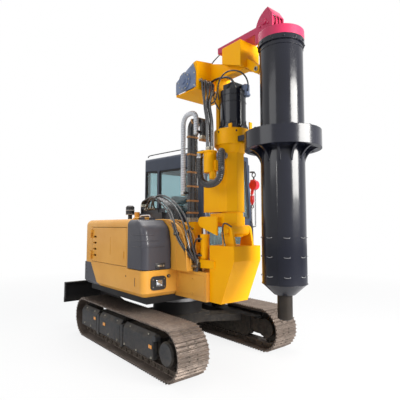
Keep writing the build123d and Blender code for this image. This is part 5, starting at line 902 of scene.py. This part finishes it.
RAM_ROUTES = (
    ((1.030, 0.046, 1.27), (1.010, 0.085, 1.29), (0.955, 0.075, 1.25), (0.930, 0.04, 1.17),
     (0.925, 0.03, 1.10)),
    ((1.030, 0.046, 1.46), (0.995, 0.090, 1.48), (0.935, 0.085, 1.40), (0.905, 0.05, 1.22),
     (0.900, 0.03, 1.10)))
ram_hoses = bmesh.new()
for side in (-1, 1):
    y = CENTRE_Y + side * 0.172
    for route in RAM_ROUTES:
        hose(ram_hoses, [(x, y + side * outward, z) for x, outward, z in route], 0.009)
finish_piece("tilt_ram_hoses", ram_hoses, HOSE_RUBBER, "upper")
print("stack hoses done")

# %% [markdown]
# Every shoe of a track is bolted to its link by four bolts that sit between the grousers, and the links show
# their round bosses along the sides of the chain. Both repeat 44 times on each track, so each has only a few
# faces, and all of them are joined in one mesh.

# %% Track bolts and links
TRACK_LENGTH, TRACK_HEIGHT, TRACK_MIDDLE = 2.670, 0.553, 0.753
AXLE_Z = TRACK_HEIGHT / 2
END_X = TRACK_LENGTH / 2 - AXLE_Z
PAD_RADIUS = AXLE_Z - 0.018
LINK_RADIUS = PAD_RADIUS - 0.040
SHOES_PER_RUN, SHOES_PER_END = 16, 6


def shoe_places():
    """Direction of travel, outward direction and foot of every shoe, once round the loop."""
    found = []
    step = 2 * END_X / SHOES_PER_RUN
    for half in (0, 1):
        sign = 1 - 2 * half
        ahead, outward = Vector((sign, 0, 0)), Vector((0, 0, -sign))
        for i in range(SHOES_PER_RUN + 1):
            found.append((Vector((sign * (-END_X + i * step), 0, AXLE_Z)), ahead, outward))
        for i in range(1, SHOES_PER_END):
            angle = math.radians(180 * half + i * 180 / SHOES_PER_END)
            ahead = Vector((math.cos(angle), 0, math.sin(angle)))
            outward = Vector((math.sin(angle), 0, -math.cos(angle)))
            found.append((Vector((sign * END_X, 0, AXLE_Z)), ahead, outward))
    return found


shoe_bolts = bmesh.new()
links_bm = bmesh.new()
for side in (-1, 1):
    for middle, along, out in shoe_places():
        for s in (-0.0224, 0.0224):
            for across in (-0.052, 0.052):
                spot = middle + out * (PAD_RADIUS - 0.0005) + along * s
                spot.y = side * TRACK_MIDDLE + across
                disc(shoe_bolts, spot, out, 0.0105, 0.009, 6, 0.0085)
        for hand in (-1, 1):
            spot = middle + out * LINK_RADIUS + along * 0.045
            spot.y = side * TRACK_MIDDLE + hand * 0.0745
            disc(links_bm, spot, (0, hand, 0), 0.022, 0.011, 10)
            disc(links_bm, spot + Vector((0, hand * 0.011, 0)), (0, hand, 0), 0.011, 0.004, 8)
            plate = Matrix((along, Vector((0, 1, 0)), out)).transposed().to_4x4()
            web = middle + out * LINK_RADIUS
            web.y = side * TRACK_MIDDLE + hand * 0.078
            block(links_bm, web, (0.078, 0.007, 0.034), 0.0, plate)
finish_piece("shoe_bolts", shoe_bolts, TRACK_DARK, "undercarriage")
finish_piece("track_links", links_bm, TRACK_DARK, "undercarriage")
print("shoes on each track:", len(shoe_places()))

# %% [markdown]
# The covers along the side frames carry small bolts and two-cell orange reflectors. The bolts of the rollers
# show between the covers, and a plain round cap closes each final drive.

# %% Side frame fittings
COVER_BOLTS = ((-1.046, 0.196), (-0.828, 0.192), (-0.265, 0.195), (-0.023, 0.178), (0.175, 0.176),
               (0.461, 0.176), (0.779, 0.173))
cover_bolts = bmesh.new()
reflectors = bmesh.new()
reflector_rims = bmesh.new()
drive_caps = bmesh.new()
for side in (-1, 1):
    outer = side * 0.925
    for x, z in COVER_BOLTS:
        bolt(cover_bolts, (x, outer, z), (0, side, 0), 0.011)
    for x in (-1.04, -0.77, -0.44, -0.08, 0.26, 0.68):
        bolt(cover_bolts, (x, side * 0.893, 0.402), (0, side * 0.75, 0.67), 0.009)
    for x in (-0.64, -0.32, 0.0, 0.32, 0.64):
        bolt(cover_bolts, (x, side * 0.868, 0.135), (0, side, 0), 0.013)
    for x, z in ((-0.700, 0.318), (-0.396, 0.299), (0.765, 0.288)):
        block(reflector_rims, (x, outer + side * 0.0015, z), (0.072, 0.004, 0.046), 0.0015)
        for shift in (-0.017, 0.017):
            block(reflectors, (x + shift, outer + side * 0.0045, z), (0.030, 0.005, 0.038), 0.0015)
    disc(drive_caps, (END_X, outer - side * 0.001, AXLE_Z), (0, side, 0), 0.116, 0.004, 48, 0.112)
    bar(drive_caps, (0.842, side * 0.864, 0.392), (0.842, side * 0.932, 0.392), 0.038, 28, 0.034)
    disc(drive_caps, (-END_X, side * 0.8185, AXLE_Z), (0, side, 0), 0.042, 0.010, 32, 0.036)
    bolt_wheel(cover_bolts, -END_X, side * 0.8185, AXLE_Z, side, 8, 0.052, 0.006, 0.5)
finish_piece("cover_bolts", cover_bolts, ZINC, "undercarriage")
finish_piece("reflector_rims", reflector_rims, BLACK_PLASTIC, "undercarriage")
finish_piece("reflectors", reflectors, MARKER_ORANGE, "undercarriage")
finish_piece("drive_caps", drive_caps, COVER_GREY, "undercarriage")

edge_bolts = bmesh.new()
for index in range(12):
    bolt(edge_bolts, (-1.788, -0.88 + index * 0.16, 0.435), (-1, 0, 0), 0.013)
finish_piece("blade_edge_bolts", edge_bolts, ZINC, "blade")
print("side frame fittings done")

# %% [markdown]
# Three raised ribs run along the nose cover's side and round its corner to the front. To follow a shape that
# bends both ways, rays are sent at the cover from outside, level by level, and a slim bead is laid through
# the points they strike.

# %% Nose cover ribs and latch
def surface_of(name):
    """A tree that answers where a ray meets a piece of the model."""
    shell = bmesh.new()
    shell.from_mesh(machine[name].data)
    tree = BVHTree.FromBMesh(shell)
    shell.free()
    return tree


nose_tree = surface_of("nose_cover")
CORNER_X, RIB_STEP = 0.46, 0.03
ribs = bmesh.new()
for z, rear, inner in ((1.505, 0.350, -0.775), (1.438, 0.356, -0.700), (1.366, 0.352, -0.640)):
    spots = []
    corner = Vector((CORNER_X, -0.78, z))
    x = rear
    while x < CORNER_X:
        spots.append(nose_tree.ray_cast(Vector((x, -1.2, z)), Vector((0, 1, 0)))[0])
        x += RIB_STEP
    for step in range(10):
        way = way_at(math.radians(-90 + step * 10))
        spots.append(nose_tree.ray_cast(corner + way * 0.6, -way)[0])
    y = -0.76
    while y < inner:
        spots.append(nose_tree.ray_cast(Vector((1.0, y, z)), Vector((-1, 0, 0)))[0])
        y += RIB_STEP
    spots = [s for s in spots if s is not None]
    hose(ribs, [tuple(s) for s in spots], 0.0065, roundness=2, smoothness=3)
finish_piece("nose_ribs", ribs, PANEL_GREY, "nose_cover")

latch = bmesh.new()
block(latch, (0.6225, -0.712, 1.142), (0.010, 0.138, 0.070), 0.0045)
finish_piece("nose_latch", latch, BLACK_PLASTIC, "nose_cover")
latch_key = bmesh.new()
disc(latch_key, (0.627, -0.668, 1.142), (1, 0, 0), 0.012, 0.004, 20)
block(latch_key, (0.629, -0.722, 1.142), (0.008, 0.060, 0.022), 0.003)
finish_piece("latch_key", latch_key, ZINC, "nose_cover")
print("ribs and latch done")

# %% [markdown]
# The body panels have few things on them, and each one shows: two dots and a slim slot on the skirt, screws
# on the service door and the side cover, three short lines pressed in the counterweight, and the lamp in the
# front corner with its bright bowl. The dots, the slot and the pressed lines are dark pieces: painted shade
# of their hollows.

# %% Body panel fittings
panel_bolts = bmesh.new()
# Painted shade: these dark pieces stand for the shade inside the dots, the slot and the pressed lines.
painted_shade_marks = bmesh.new()
yellow_marks = bmesh.new()
for side in (-1, 1):
    y = side * 0.930
    disc(painted_shade_marks, (0.192, y, 0.997), (0, side, 0), 0.008, 0.0025, 16)
    ring(yellow_marks, (0.192, y, 0.997), (0, 1, 0), 0.013, 0.0035, 20, 6)
    block(painted_shade_marks, (0.408, y, 0.946), (0.009, 0.004, 0.100), 0.0015)
    block(yellow_marks, (0.424, y, 0.946), (0.014, 0.008, 0.106), 0.003)
    for x, z in ((-1.047, 1.035), (-1.030, 0.984), (-1.018, 0.934)):
        block(painted_shade_marks, (x, y, z), (0.050, 0.005, 0.012), 0.002)
for x, z in ((0.923, 0.998), (0.921, 0.834)):
    bolt(panel_bolts, (x, -0.456, z), (0, -1, 0), 0.009)
for x in (0.625, 0.64, 1.14):
    for z in (0.86, 1.0):
        disc(panel_bolts, (x, -0.450, z), (0, -1, 0), 0.006, 0.003, 12)
finish_piece("panel_bolts", panel_bolts, BODY_YELLOW, "upper")
finish_piece("painted_shade_marks", painted_shade_marks, BLACK_PLASTIC, "upper")
finish_piece("raised_marks", yellow_marks, BODY_YELLOW, "upper")

cover_screws = bmesh.new()
for x in (0.042, -0.134, -0.70):
    disc(cover_screws, (x, -0.930, 1.577), (0, -1, 0), 0.0065, 0.003, 12)
block(cover_screws, (-0.245, -0.9305, 1.350), (0.004, 0.003, 0.230), 0.0012)
block(cover_screws, (0.120, -0.933, 1.250), (0.030, 0.007, 0.085), 0.003)
finish_piece("side_cover_screws", cover_screws, BODY_YELLOW, "side_cover")

lamp_bowl = bmesh.new()
block(lamp_bowl, (0.6248, -0.723, 0.948), (0.003, 0.074, 0.052), 0.001)
for y, z in ((-0.80, 0.985), (-0.80, 0.898), (-0.646, 0.985), (-0.646, 0.898)):
    disc(lamp_bowl, (0.616, y, z), (1, 0, 0), 0.006, 0.003, 12)
disc(lamp_bowl, (0.616, -0.578, 1.012), (1, 0, 0), 0.0095, 0.004, 20)
finish_piece("lamp_bowl", lamp_bowl, RAM_CHROME, "upper")
lamp_lens = bmesh.new()
block(lamp_lens, (0.6275, -0.723, 0.941), (0.005, 0.088, 0.076), 0.002)
finish_piece("lamp_lens", lamp_lens, LAMP_GLASS, "upper")

BAND_LINE = ((0.262, 1.690), (0.400, 1.692), (0.640, 1.680), (0.872, 1.545), (0.925, 1.300), (0.930, 1.120))
fender_bands = bmesh.new()
for y, radius in ((-0.549, 0.010), (-0.492, 0.008), (-0.404, 0.010)):
    hose(fender_bands, [(x, y, z) for x, z in BAND_LINE], radius)
for x in (0.50, 0.72):
    bar(fender_bands, (x, -0.5505, 1.118), (x, -0.5505, 1.56 - (x - 0.5) * 0.5), 0.006)
finish_piece("fender_bands", fender_bands, BODY_YELLOW, "upper")
hood_rail = bmesh.new()
RAIL_LINE = ((-0.04, 1.702), (-0.04, 1.745), (0.00, 1.752), (0.18, 1.752), (0.208, 1.745), (0.208, 1.706))
hose(hood_rail, [(x, -0.60, z) for x, z in RAIL_LINE], 0.009)
finish_piece("hood_rail", hood_rail, SLEEVE_WHITE, "upper")
precleaner = bmesh.new()
for z in (1.782, 1.842):
    ring(precleaner, (-0.505, -0.500, z), UP, 0.0625, 0.0035, 40, 6)
finish_piece("precleaner_bands", precleaner, SLEEVE_WHITE, "upper")
print("panel fittings done")

# %% [markdown]
# A rubber seal runs round every window. Each pane of the model is copied, its flat faces are inset, and only
# the rim that the inset leaves is kept and given a thickness. That keeps each seal true to its pane.

# %% Window seals and cab fittings
PANE_AREA = 0.02


def seal_round(name, width, rise, body):
    """A rubber rim on both faces of every pane of a glass piece."""
    rim = bmesh.new()
    rim.from_mesh(machine[name].data)
    bmesh.ops.remove_doubles(rim, verts=rim.verts, dist=0.0001)
    bmesh.ops.dissolve_limit(rim, angle_limit=0.03, verts=rim.verts, edges=rim.edges)
    large = [f for f in rim.faces if f.calc_area() > PANE_AREA]
    small = [f for f in rim.faces if f.calc_area() <= PANE_AREA]
    bmesh.ops.delete(rim, geom=small, context="FACES")
    kept = set(bmesh.ops.inset_individual(rim, faces=large, thickness=width, use_even_offset=True)["faces"])
    inner = [f for f in rim.faces if f not in kept]
    bmesh.ops.delete(rim, geom=inner, context="FACES")
    for face in rim.faces:
        face.normal_update()
    bmesh.ops.solidify(rim, geom=list(rim.faces), thickness=-rise)
    return finish_piece(name + "_seal", rim, SEAL_RUBBER, body, closed=False)


for pane, body in (("cab_glass", "upper"), ("cab_door_glass", "cab_door")):
    seal_round(pane, 0.026, 0.007, body)

cab_bars = bmesh.new()
GRIP_LINE = ((0.622, 1.20), (0.650, 1.20), (0.660, 1.26), (0.652, 1.60), (0.640, 1.68), (0.612, 1.68))
ROOF_LINE = ((-0.80, 2.720), (-0.80, 2.745), (-0.70, 2.748), (0.30, 2.700), (0.38, 2.690), (0.38, 2.655))
for y in (0.030, 0.870):
    hose(cab_bars, [(x, y, z) for x, z in GRIP_LINE], 0.010)
hose(cab_bars, [(x, -0.020, z) for x, z in ROOF_LINE], 0.008)
bar(cab_bars, (0.612, 0.30, 1.715), (0.575, 0.62, 2.32), 0.006)
bar(cab_bars, (0.614, 0.30, 1.700), (0.640, 0.30, 1.706), 0.014)
pane_lean = Matrix.Rotation(math.radians(-4.1), 4, "Y")
block(cab_bars, (0.592, 0.60, 2.10), (0.010, 0.012, 0.50), 0.003, pane_lean)
finish_piece("cab_bars", cab_bars, BLACK_PLASTIC, "upper")

door_parts = bmesh.new()
HANDLE_LINE = ((0.42, 0.958), (0.42, 0.985), (0.40, 0.992), (0.26, 0.992), (0.24, 0.985), (0.24, 0.958))
hose(door_parts, [(x, y, 1.40) for x, y in HANDLE_LINE], 0.009)
block(door_parts, (0.33, 0.962, 1.34), (0.09, 0.010, 0.055), 0.004)
for z in (1.15, 1.75, 2.35):
    block(door_parts, (-0.225, 0.964, z), (0.06, 0.010, 0.075), 0.004)
finish_piece("door_handle", door_parts, BLACK_PLASTIC, "cab_door")
print("cab fittings done")

# %% [markdown]
# The operator's seat is upholstered, so its plain solid is replaced. Each pad starts as a slightly small
# rounded block, is remeshed to small even faces and blown up with the Cloth simulation, which pulls its
# sides in between the corners as stuffed cloth does.

# %% Seat
SEAT_Y = 0.450
VOXEL = 0.008
PRESSURE = 4.0
LAST_STEP = 20


def stuffed(name, middle, size, corner, turn, reach):
    """A cushion: a rounded block swollen by a short cloth simulation, but no further than reach."""
    bm = bmesh.new()
    block(bm, (0, 0, 0), size, corner, None)
    for axis in (0, 1):
        for share in (-0.25, 0.0, 0.25):
            normal = Vector((1 - axis, axis, 0))
            whole = list(bm.verts) + list(bm.edges) + list(bm.faces)
            bmesh.ops.bisect_plane(bm, geom=whole, plane_co=normal * share * size[axis], plane_no=normal)
    mesh = bpy.data.meshes.new(name)
    bmesh.ops.recalc_face_normals(bm, faces=bm.faces)
    bm.to_mesh(mesh)
    bm.free()
    pad = bpy.data.objects.new(name, mesh)
    bpy.context.scene.collection.objects.link(pad)
    remesh = pad.modifiers.new("even", "REMESH")
    remesh.mode = "VOXEL"
    remesh.voxel_size = VOXEL
    bpy.context.view_layer.update()
    evaluated = pad.evaluated_get(bpy.context.evaluated_depsgraph_get())
    even = bpy.data.meshes.new_from_object(evaluated)
    pad.modifiers.clear()
    pad.data = even
    before = [v.co.copy() for v in even.vertices]
    cloth = pad.modifiers.new("stuffing", "CLOTH")
    cloth.settings.quality = 4
    cloth.settings.use_pressure = True
    cloth.settings.uniform_pressure_force = PRESSURE
    cloth.settings.effector_weights.gravity = 0.0
    cloth.point_cache.frame_start = 1
    cloth.point_cache.frame_end = LAST_STEP
    for number in range(1, LAST_STEP + 1):
        bpy.context.scene.frame_set(number)
    evaluated = pad.evaluated_get(bpy.context.evaluated_depsgraph_get())
    swollen = bpy.data.meshes.new_from_object(evaluated)
    for vert, old in zip(swollen.vertices, before):
        moved = vert.co - old
        if moved.length > reach:
            vert.co = old + moved.normalized() * reach
    pad.modifiers.clear()
    pad.data = swollen
    bpy.context.scene.frame_set(1)
    pad.data.transform(Matrix.Translation(Vector(middle)) @ turn)
    pad.data.polygons.foreach_set("use_smooth", [True] * len(pad.data.polygons))
    smooth = pad.modifiers.new("smooth", "SUBSURF")
    smooth.levels = 1
    smooth.render_levels = 1
    pad.data.materials.clear()
    pad.data.materials.append(SEAT_CLOTH)
    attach(pad, "upper")
    return pad


lean = Matrix.Rotation(math.radians(-7), 4, "Y")
flat = Matrix.Identity(4)
seat_pad = stuffed("seat_cushion", (-0.330, SEAT_Y, 1.375), (0.460, 0.460, 0.105), 0.040, flat, 0.012)
stuffed("seat_back", (-0.558, SEAT_Y, 1.700), (0.100, 0.430, 0.540), 0.038, lean, 0.012)
stuffed("seat_headrest", (-0.600, SEAT_Y, 2.035), (0.080, 0.270, 0.135), 0.030, lean, 0.008)
seat_base = bmesh.new()
block(seat_base, (-0.330, SEAT_Y, 1.140), (0.340, 0.340, 0.330), 0.012)
block(seat_base, (-0.330, SEAT_Y, 1.314), (0.400, 0.400, 0.024), 0.008)
for y in (-0.07, 0.07):
    bar(seat_base, (-0.592, SEAT_Y + y, 1.92), (-0.602, SEAT_Y + y, 2.02), 0.008)
block(seat_base, (-0.615, SEAT_Y, 1.700), (0.030, 0.380, 0.480), 0.012, lean)
finish_piece("seat_frame", seat_base, BLACK_PLASTIC, "upper")
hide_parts("seat")
print("seat cushion top", round(max(v.co.z for v in seat_pad.data.vertices), 3), "m")

# %% [markdown]
# On the mast the bolts say how it is built: a ring of cap screws holds the drive motor to its yellow cap,
# and six set screws go round the cap. Weld beads lie where plates meet, as slim uneven lines, because a real
# bead is never a perfect tube.

# %% Mast fittings
MAST = Vector((1.310, CENTRE_Y, 0))
MOTOR = Vector((1.335, CENTRE_Y, 0))
mast_dark = bmesh.new()
for out, spot in round_post(MAST, 6, 0.2045, 2.665, -1.5):
    disc(mast_dark, spot, out, 0.010, 0.0025, 16)
for out, spot in round_post(MOTOR, 16, 0.160, 2.729):
    disc(mast_dark, spot, UP, 0.0095, 0.018, 12)
    disc(mast_dark, spot + UP * 0.018, UP, 0.0095, 0.002, 12, 0.0075)
for out, spot in round_post(MOTOR, 10, 0.120, 3.159, 0.5):
    bolt(mast_dark, spot, UP, 0.0095)
for z in (2.775, 3.020, 3.100):
    ring(mast_dark, MOTOR + UP * z, UP, 0.1475, 0.005, 48, 6)
for out, spot in round_post(MOTOR, 12, 0.1475, 2.735):
    bar(mast_dark, spot, spot + UP * 0.070, 0.0065, 8)
finish_piece("motor_bolts", mast_dark, GLOSS_BLACK, "mast_slide")

SMALL_MOTOR = Vector((1.455, -0.105, 0))
motor_blue = bmesh.new()
disc(motor_blue, SMALL_MOTOR + UP * 3.120, UP, 0.046, 0.105, 32)
disc(motor_blue, SMALL_MOTOR + UP * 3.225, UP, 0.046, 0.010, 32, 0.036)
disc(motor_blue, SMALL_MOTOR + UP * 3.104, UP, 0.056, 0.018, 6)
finish_piece("swivel_motor", motor_blue, WINCH_BLUE, "mast_slide")
tabs = bmesh.new()
block(tabs, (1.482, -0.060, 2.742), (0.016, 0.045, 0.110), 0.003)
block(tabs, (1.440, -0.340, 2.722), (0.050, 0.016, 0.050), 0.003)
finish_piece("cap_tabs", tabs, MAST_YELLOW, "mast_slide")


def bead(bm, points, radius=0.0045, wobble=0.0010):
    """A weld bead: a slim line that wanders a little."""
    walk = Walk(points, smoothness=6)
    count = max(4, int(walk.length / 0.016))
    route = []
    for i in range(count + 1):
        place, tangent, normal, side = walk.at(walk.length * i / count)
        place = place + normal * random.uniform(-wobble, wobble)
        route.append(tuple(place + side * random.uniform(-wobble, wobble)))
    hose(bm, route, radius, roundness=1, smoothness=2)


slide_beads = bmesh.new()
for y in (-0.325, -0.055):
    bead(slide_beads, [(1.20, y, 2.519), (1.42, y, 2.519)])
SLEEVE_HALF, SLEEVE_FOOT = 0.135, 1.772
reach = SLEEVE_HALF / math.cos(math.radians(22.5)) + 0.001
corners = [spot for out, spot in round_post(MAST, 8, reach, SLEEVE_FOOT, 0.5)]
for first, second in zip(corners, corners[1:] + corners[:1]):
    bead(slide_beads, [tuple(first), tuple(second)], 0.0035)
bead(slide_beads, [(1.006, -0.245, 3.362), (1.30, -0.246, 3.355)])
bead(slide_beads, [(1.006, -0.248, 3.372), (1.006, -0.247, 3.598)])
bead(slide_beads, [(0.602, -0.471, 3.252), (1.000, -0.471, 3.252)], 0.0035)
finish_piece("mast_beads", slide_beads, MAST_YELLOW, "mast_slide", closed=False)

pivot_parts = bmesh.new()
for side in (-1, 1):
    y = CENTRE_Y + side * 0.170
    disc(pivot_parts, (1.400, y, 1.560), (0, side, 0), 0.030, 0.006, 24, 0.026)
    block(pivot_parts, (1.400, y + side * 0.004, 1.514), (0.060, 0.006, 0.022), 0.002)
    for x in (1.382, 1.418):
        bolt(pivot_parts, (x, y + side * 0.007, 1.514), (0, side, 0), 0.006)
finish_piece("pivot_keepers", pivot_parts, MAST_YELLOW, "upper")
print("mast fittings done")

# %% [markdown]
# The driving head hangs at the front. Its flange is bolted through, its lower casing carries rows of short
# steel rungs, and a wire rope runs from the winch up into the red head. On the winch the rope is wound in
# neat turns, which are tori laid side by side.

# %% Winch rope and driving head
WINCH_X, WINCH_Z = 0.790, 3.400
STRAND_STEP, STRAND_TURN = 0.014, 0.055
winch_turns = bmesh.new()
for index in range(14):
    ring(winch_turns, (WINCH_X, -0.340 + 0.0215 * index, WINCH_Z), (0, 1, 0), 0.0925, 0.0098, 40, 8)
finish_piece("winch_rope_turns", winch_turns, ROPE_STEEL, "winch")
winch_bolts = bmesh.new()
for side, y in ((-1, -0.4465), (1, 0.0665)):
    bolt_wheel(winch_bolts, WINCH_X, y, WINCH_Z, side, 8, 0.075, 0.008)
finish_piece("winch_bolts", winch_bolts, ZINC, "winch")
rope = bmesh.new()
rope_route = [(0.735, -0.205, 3.478), (0.80, -0.204, 3.512), (0.98, -0.200, 3.630), (1.02, -0.198, 3.655),
              (1.185, -0.192, 3.722), (1.26, -0.191, 3.728), (1.74, -0.190, 3.742), (1.80, -0.190, 3.775),
              (1.845, -0.190, 3.818), (1.888, -0.190, 3.840)]
rope_walk = Walk(rope_route)
for strand in range(3):
    strand_points = []
    for i in range(int(rope_walk.length / STRAND_STEP) + 1):
        distance = i * STRAND_STEP
        place, tangent, normal, side = rope_walk.at(distance)
        angle = distance / STRAND_TURN * math.tau + strand * math.tau / 3
        place = place + normal * math.cos(angle) * 0.0042
        strand_points.append(tuple(place + side * math.sin(angle) * 0.0042))
    hose(rope, strand_points, 0.0046, roundness=1, smoothness=2)
finish_piece("winch_rope", rope, ROPE_STEEL, "mast_slide")

TOOL = Vector((2.030, CENTRE_Y, 0))
head_bolts = bmesh.new()
for out, spot in round_post(TOOL, 24, 0.352, 2.541, 0.5):
    bolt(head_bolts, spot, UP, 0.013)
for out, spot in round_post(TOOL, 12, 0.2325, 3.442, 0.5):
    bolt(head_bolts, spot, out, 0.0095)
finish_piece("head_bolts", head_bolts, GLOSS_BLACK, "mast_slide")
casing_beads = bmesh.new()
for z in (1.056, 3.376):
    ring(casing_beads, TOOL + UP * z, UP, 0.2185, 0.0038, 72, 6)
for angle in (math.radians(-68), math.radians(112)):
    x, y = TOOL.x + 0.2175 * math.cos(angle), TOOL.y + 0.2175 * math.sin(angle)
    bead(casing_beads, [(x, y, 1.06), (x, y, 2.22)], 0.0035, 0.0004)
finish_piece("casing_beads", casing_beads, GLOSS_BLACK, "mast_slide", closed=False)
RUNG_LINE = ((-7.5, 0.2165, 0.004), (-7.5, 0.2235, 0.0), (-4, 0.2235, -0.003), (0, 0.2235, -0.004),
             (4, 0.2235, -0.003), (7.5, 0.2235, 0.0), (7.5, 0.2165, 0.004))
rungs = bmesh.new()
for column in range(8):
    angle = math.radians(-91 + 45.6 * column)
    for z in (1.501, 1.318, 1.135):
        points = []
        for turn, out, drop in RUNG_LINE:
            a = angle + math.radians(turn)
            points.append((TOOL.x + out * math.cos(a), TOOL.y + out * math.sin(a), z + drop))
        hose(rungs, points, 0.0036, roundness=1)
finish_piece("casing_rungs", rungs, BARE_STEEL, "mast_slide")

red_parts = bmesh.new()
for side in (-1, 1):
    y = CENTRE_Y + side * 0.096
    disc(red_parts, (1.888, y, 3.735), (0, side, 0), 0.036, 0.012, 24, 0.032)
    for x in (1.835, 1.940):
        bolt(red_parts, (x, y, 3.700), (0, side, 0), 0.010)
    for x in (1.25, 1.40, 1.55, 1.70):
        bolt(red_parts, (x, CENTRE_Y + side * 0.070, 3.7145), UP, 0.010)
for out, spot in round_post(TOOL, 6, 0.195, 3.5365, 0.5):
    bolt(red_parts, spot, UP, 0.015)
finish_piece("head_frame_bolts", red_parts, HEAD_RED, "mast_slide")
lug_pin = bmesh.new()
bar(lug_pin, (1.735, CENTRE_Y - 0.057, 3.295), (1.735, CENTRE_Y + 0.057, 3.295), 0.0155, 20)
disc(lug_pin, (1.735, -0.235, 3.295), (0, -1, 0), 0.025, 0.012, 20)
finish_piece("lug_pin", lug_pin, ZINC, "mast_slide")
print("head done")

# %% [markdown]
# Between the two cheeks of the head a bent plate closes the top, and two ribs run down in front of the
# sheaves. The plate stops the cheeks from spreading under the rope's pull, and the open slots between the
# ribs let rain and dirt fall out.

# %% Plate and ribs between the cheeks
CHEEK_INSIDE = 0.079
head_ribs = bmesh.new()
slope = math.atan2(0.090, -0.055)
block(head_ribs, (1.9715, CENTRE_Y, 3.822), (0.104, 2 * CHEEK_INSIDE, 0.010), 0.002,
      Matrix.Rotation(-slope, 3, "Y"))
for y in (CENTRE_Y - 0.0275, CENTRE_Y + 0.0275):
    block(head_ribs, (1.994, y, 3.690), (0.010, 0.010, 0.190), 0.002)
finish_piece("head_ribs", head_ribs, HEAD_RED, "mast_slide")

# %% [markdown]
# A small red chain hoist hangs at the left of the sleeve, with its chain run down into a loose end. A chain
# link is a torus stretched to an oval; each next one is turned a quarter.

# %% Chain hoist
HOIST = Vector((1.430, 0.045, 0))


def chain(bm, start, end, pitch=0.017, wire=0.0022):
    """Oval links between two points."""
    start, end = Vector(start), Vector(end)
    way = (end - start).normalized()
    count = int((end - start).length / pitch)
    for i in range(count + 1):
        middle = start + way * pitch * i
        twist = Matrix.Rotation(math.radians(90 * (i % 2) + 20), 4, way)
        across = twist @ way.orthogonal().normalized()
        before = set(bm.verts)
        ring(bm, (0, 0, 0), (0, 0, 1), 0.0075, wire, 10, 4)
        made = [v for v in bm.verts if v not in before]
        bmesh.ops.scale(bm, vec=(1.65, 0.92, 1.0), verts=made)
        frame_of = Matrix((way, across, way.cross(across))).transposed().to_4x4()
        bmesh.ops.transform(bm, matrix=Matrix.Translation(middle) @ frame_of, verts=made)


hoist_red = bmesh.new()
hoist_dark = bmesh.new()
block(hoist_dark, (1.430, 0.018, 2.235), (0.050, 0.040, 0.014), 0.003)
ring(hoist_dark, HOIST + Vector((0, 0.0, 2.205)), (0, 1, 0), 0.026, 0.006, 28, 8)
bar(hoist_dark, HOIST + UP * 2.180, HOIST + UP * 2.135, 0.010, 12)
HUB_FACE = HOIST + Vector((0.006, 0.026, 2.085))
disc(hoist_red, HOIST + Vector((0.006, -0.026, 2.085)), (0, 1, 0), 0.056, 0.052, 36)
ring(hoist_red, HUB_FACE, (0, 1, 0), 0.048, 0.008, 36, 8)
disc(hoist_red, HUB_FACE, (0, 1, 0), 0.026, 0.014, 24, 0.020)
block(hoist_red, HOIST + Vector((-0.012, 0, 2.130)), (0.060, 0.042, 0.040), 0.008)
block(hoist_red, HOIST + Vector((-0.022, 0, 2.020)), (0.030, 0.026, 0.090), 0.006,
      Matrix.Rotation(math.radians(14), 4, "Y"))
block(hoist_red, HOIST + Vector((-0.026, 0, 1.925)), (0.040, 0.034, 0.085), 0.009)
disc(hoist_red, HOIST + Vector((-0.026, 0, 1.860)), UP, 0.013, 0.030, 16, 0.019)
ring(hoist_dark, HOIST + Vector((-0.026, 0.0, 1.838)), (0, 1, 0), 0.018, 0.0055, 24, 8)
chain(hoist_dark, HOIST + Vector((0.020, 0.0, 2.030)), HOIST + Vector((0.020, 0.0, 1.620)))
chain(hoist_dark, HOIST + Vector((-0.050, 0.012, 2.050)), HOIST + Vector((-0.046, 0.012, 1.600)))
chain(hoist_dark, HOIST + Vector((-0.046, 0.012, 1.600)), HOIST + Vector((0.020, 0.0, 1.606)))
finish_piece("chain_hoist", hoist_red, HOIST_RED, "mast_slide")
finish_piece("hoist_chain", hoist_dark, ROPE_STEEL, "mast_slide")
print("chain hoist done")

# %% Measure and finish
visual_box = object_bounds()
for label, box in (("cad", cad_box), ("visual", visual_box)):
    print(label, [[round(value, 3) for value in corner] for corner in box])
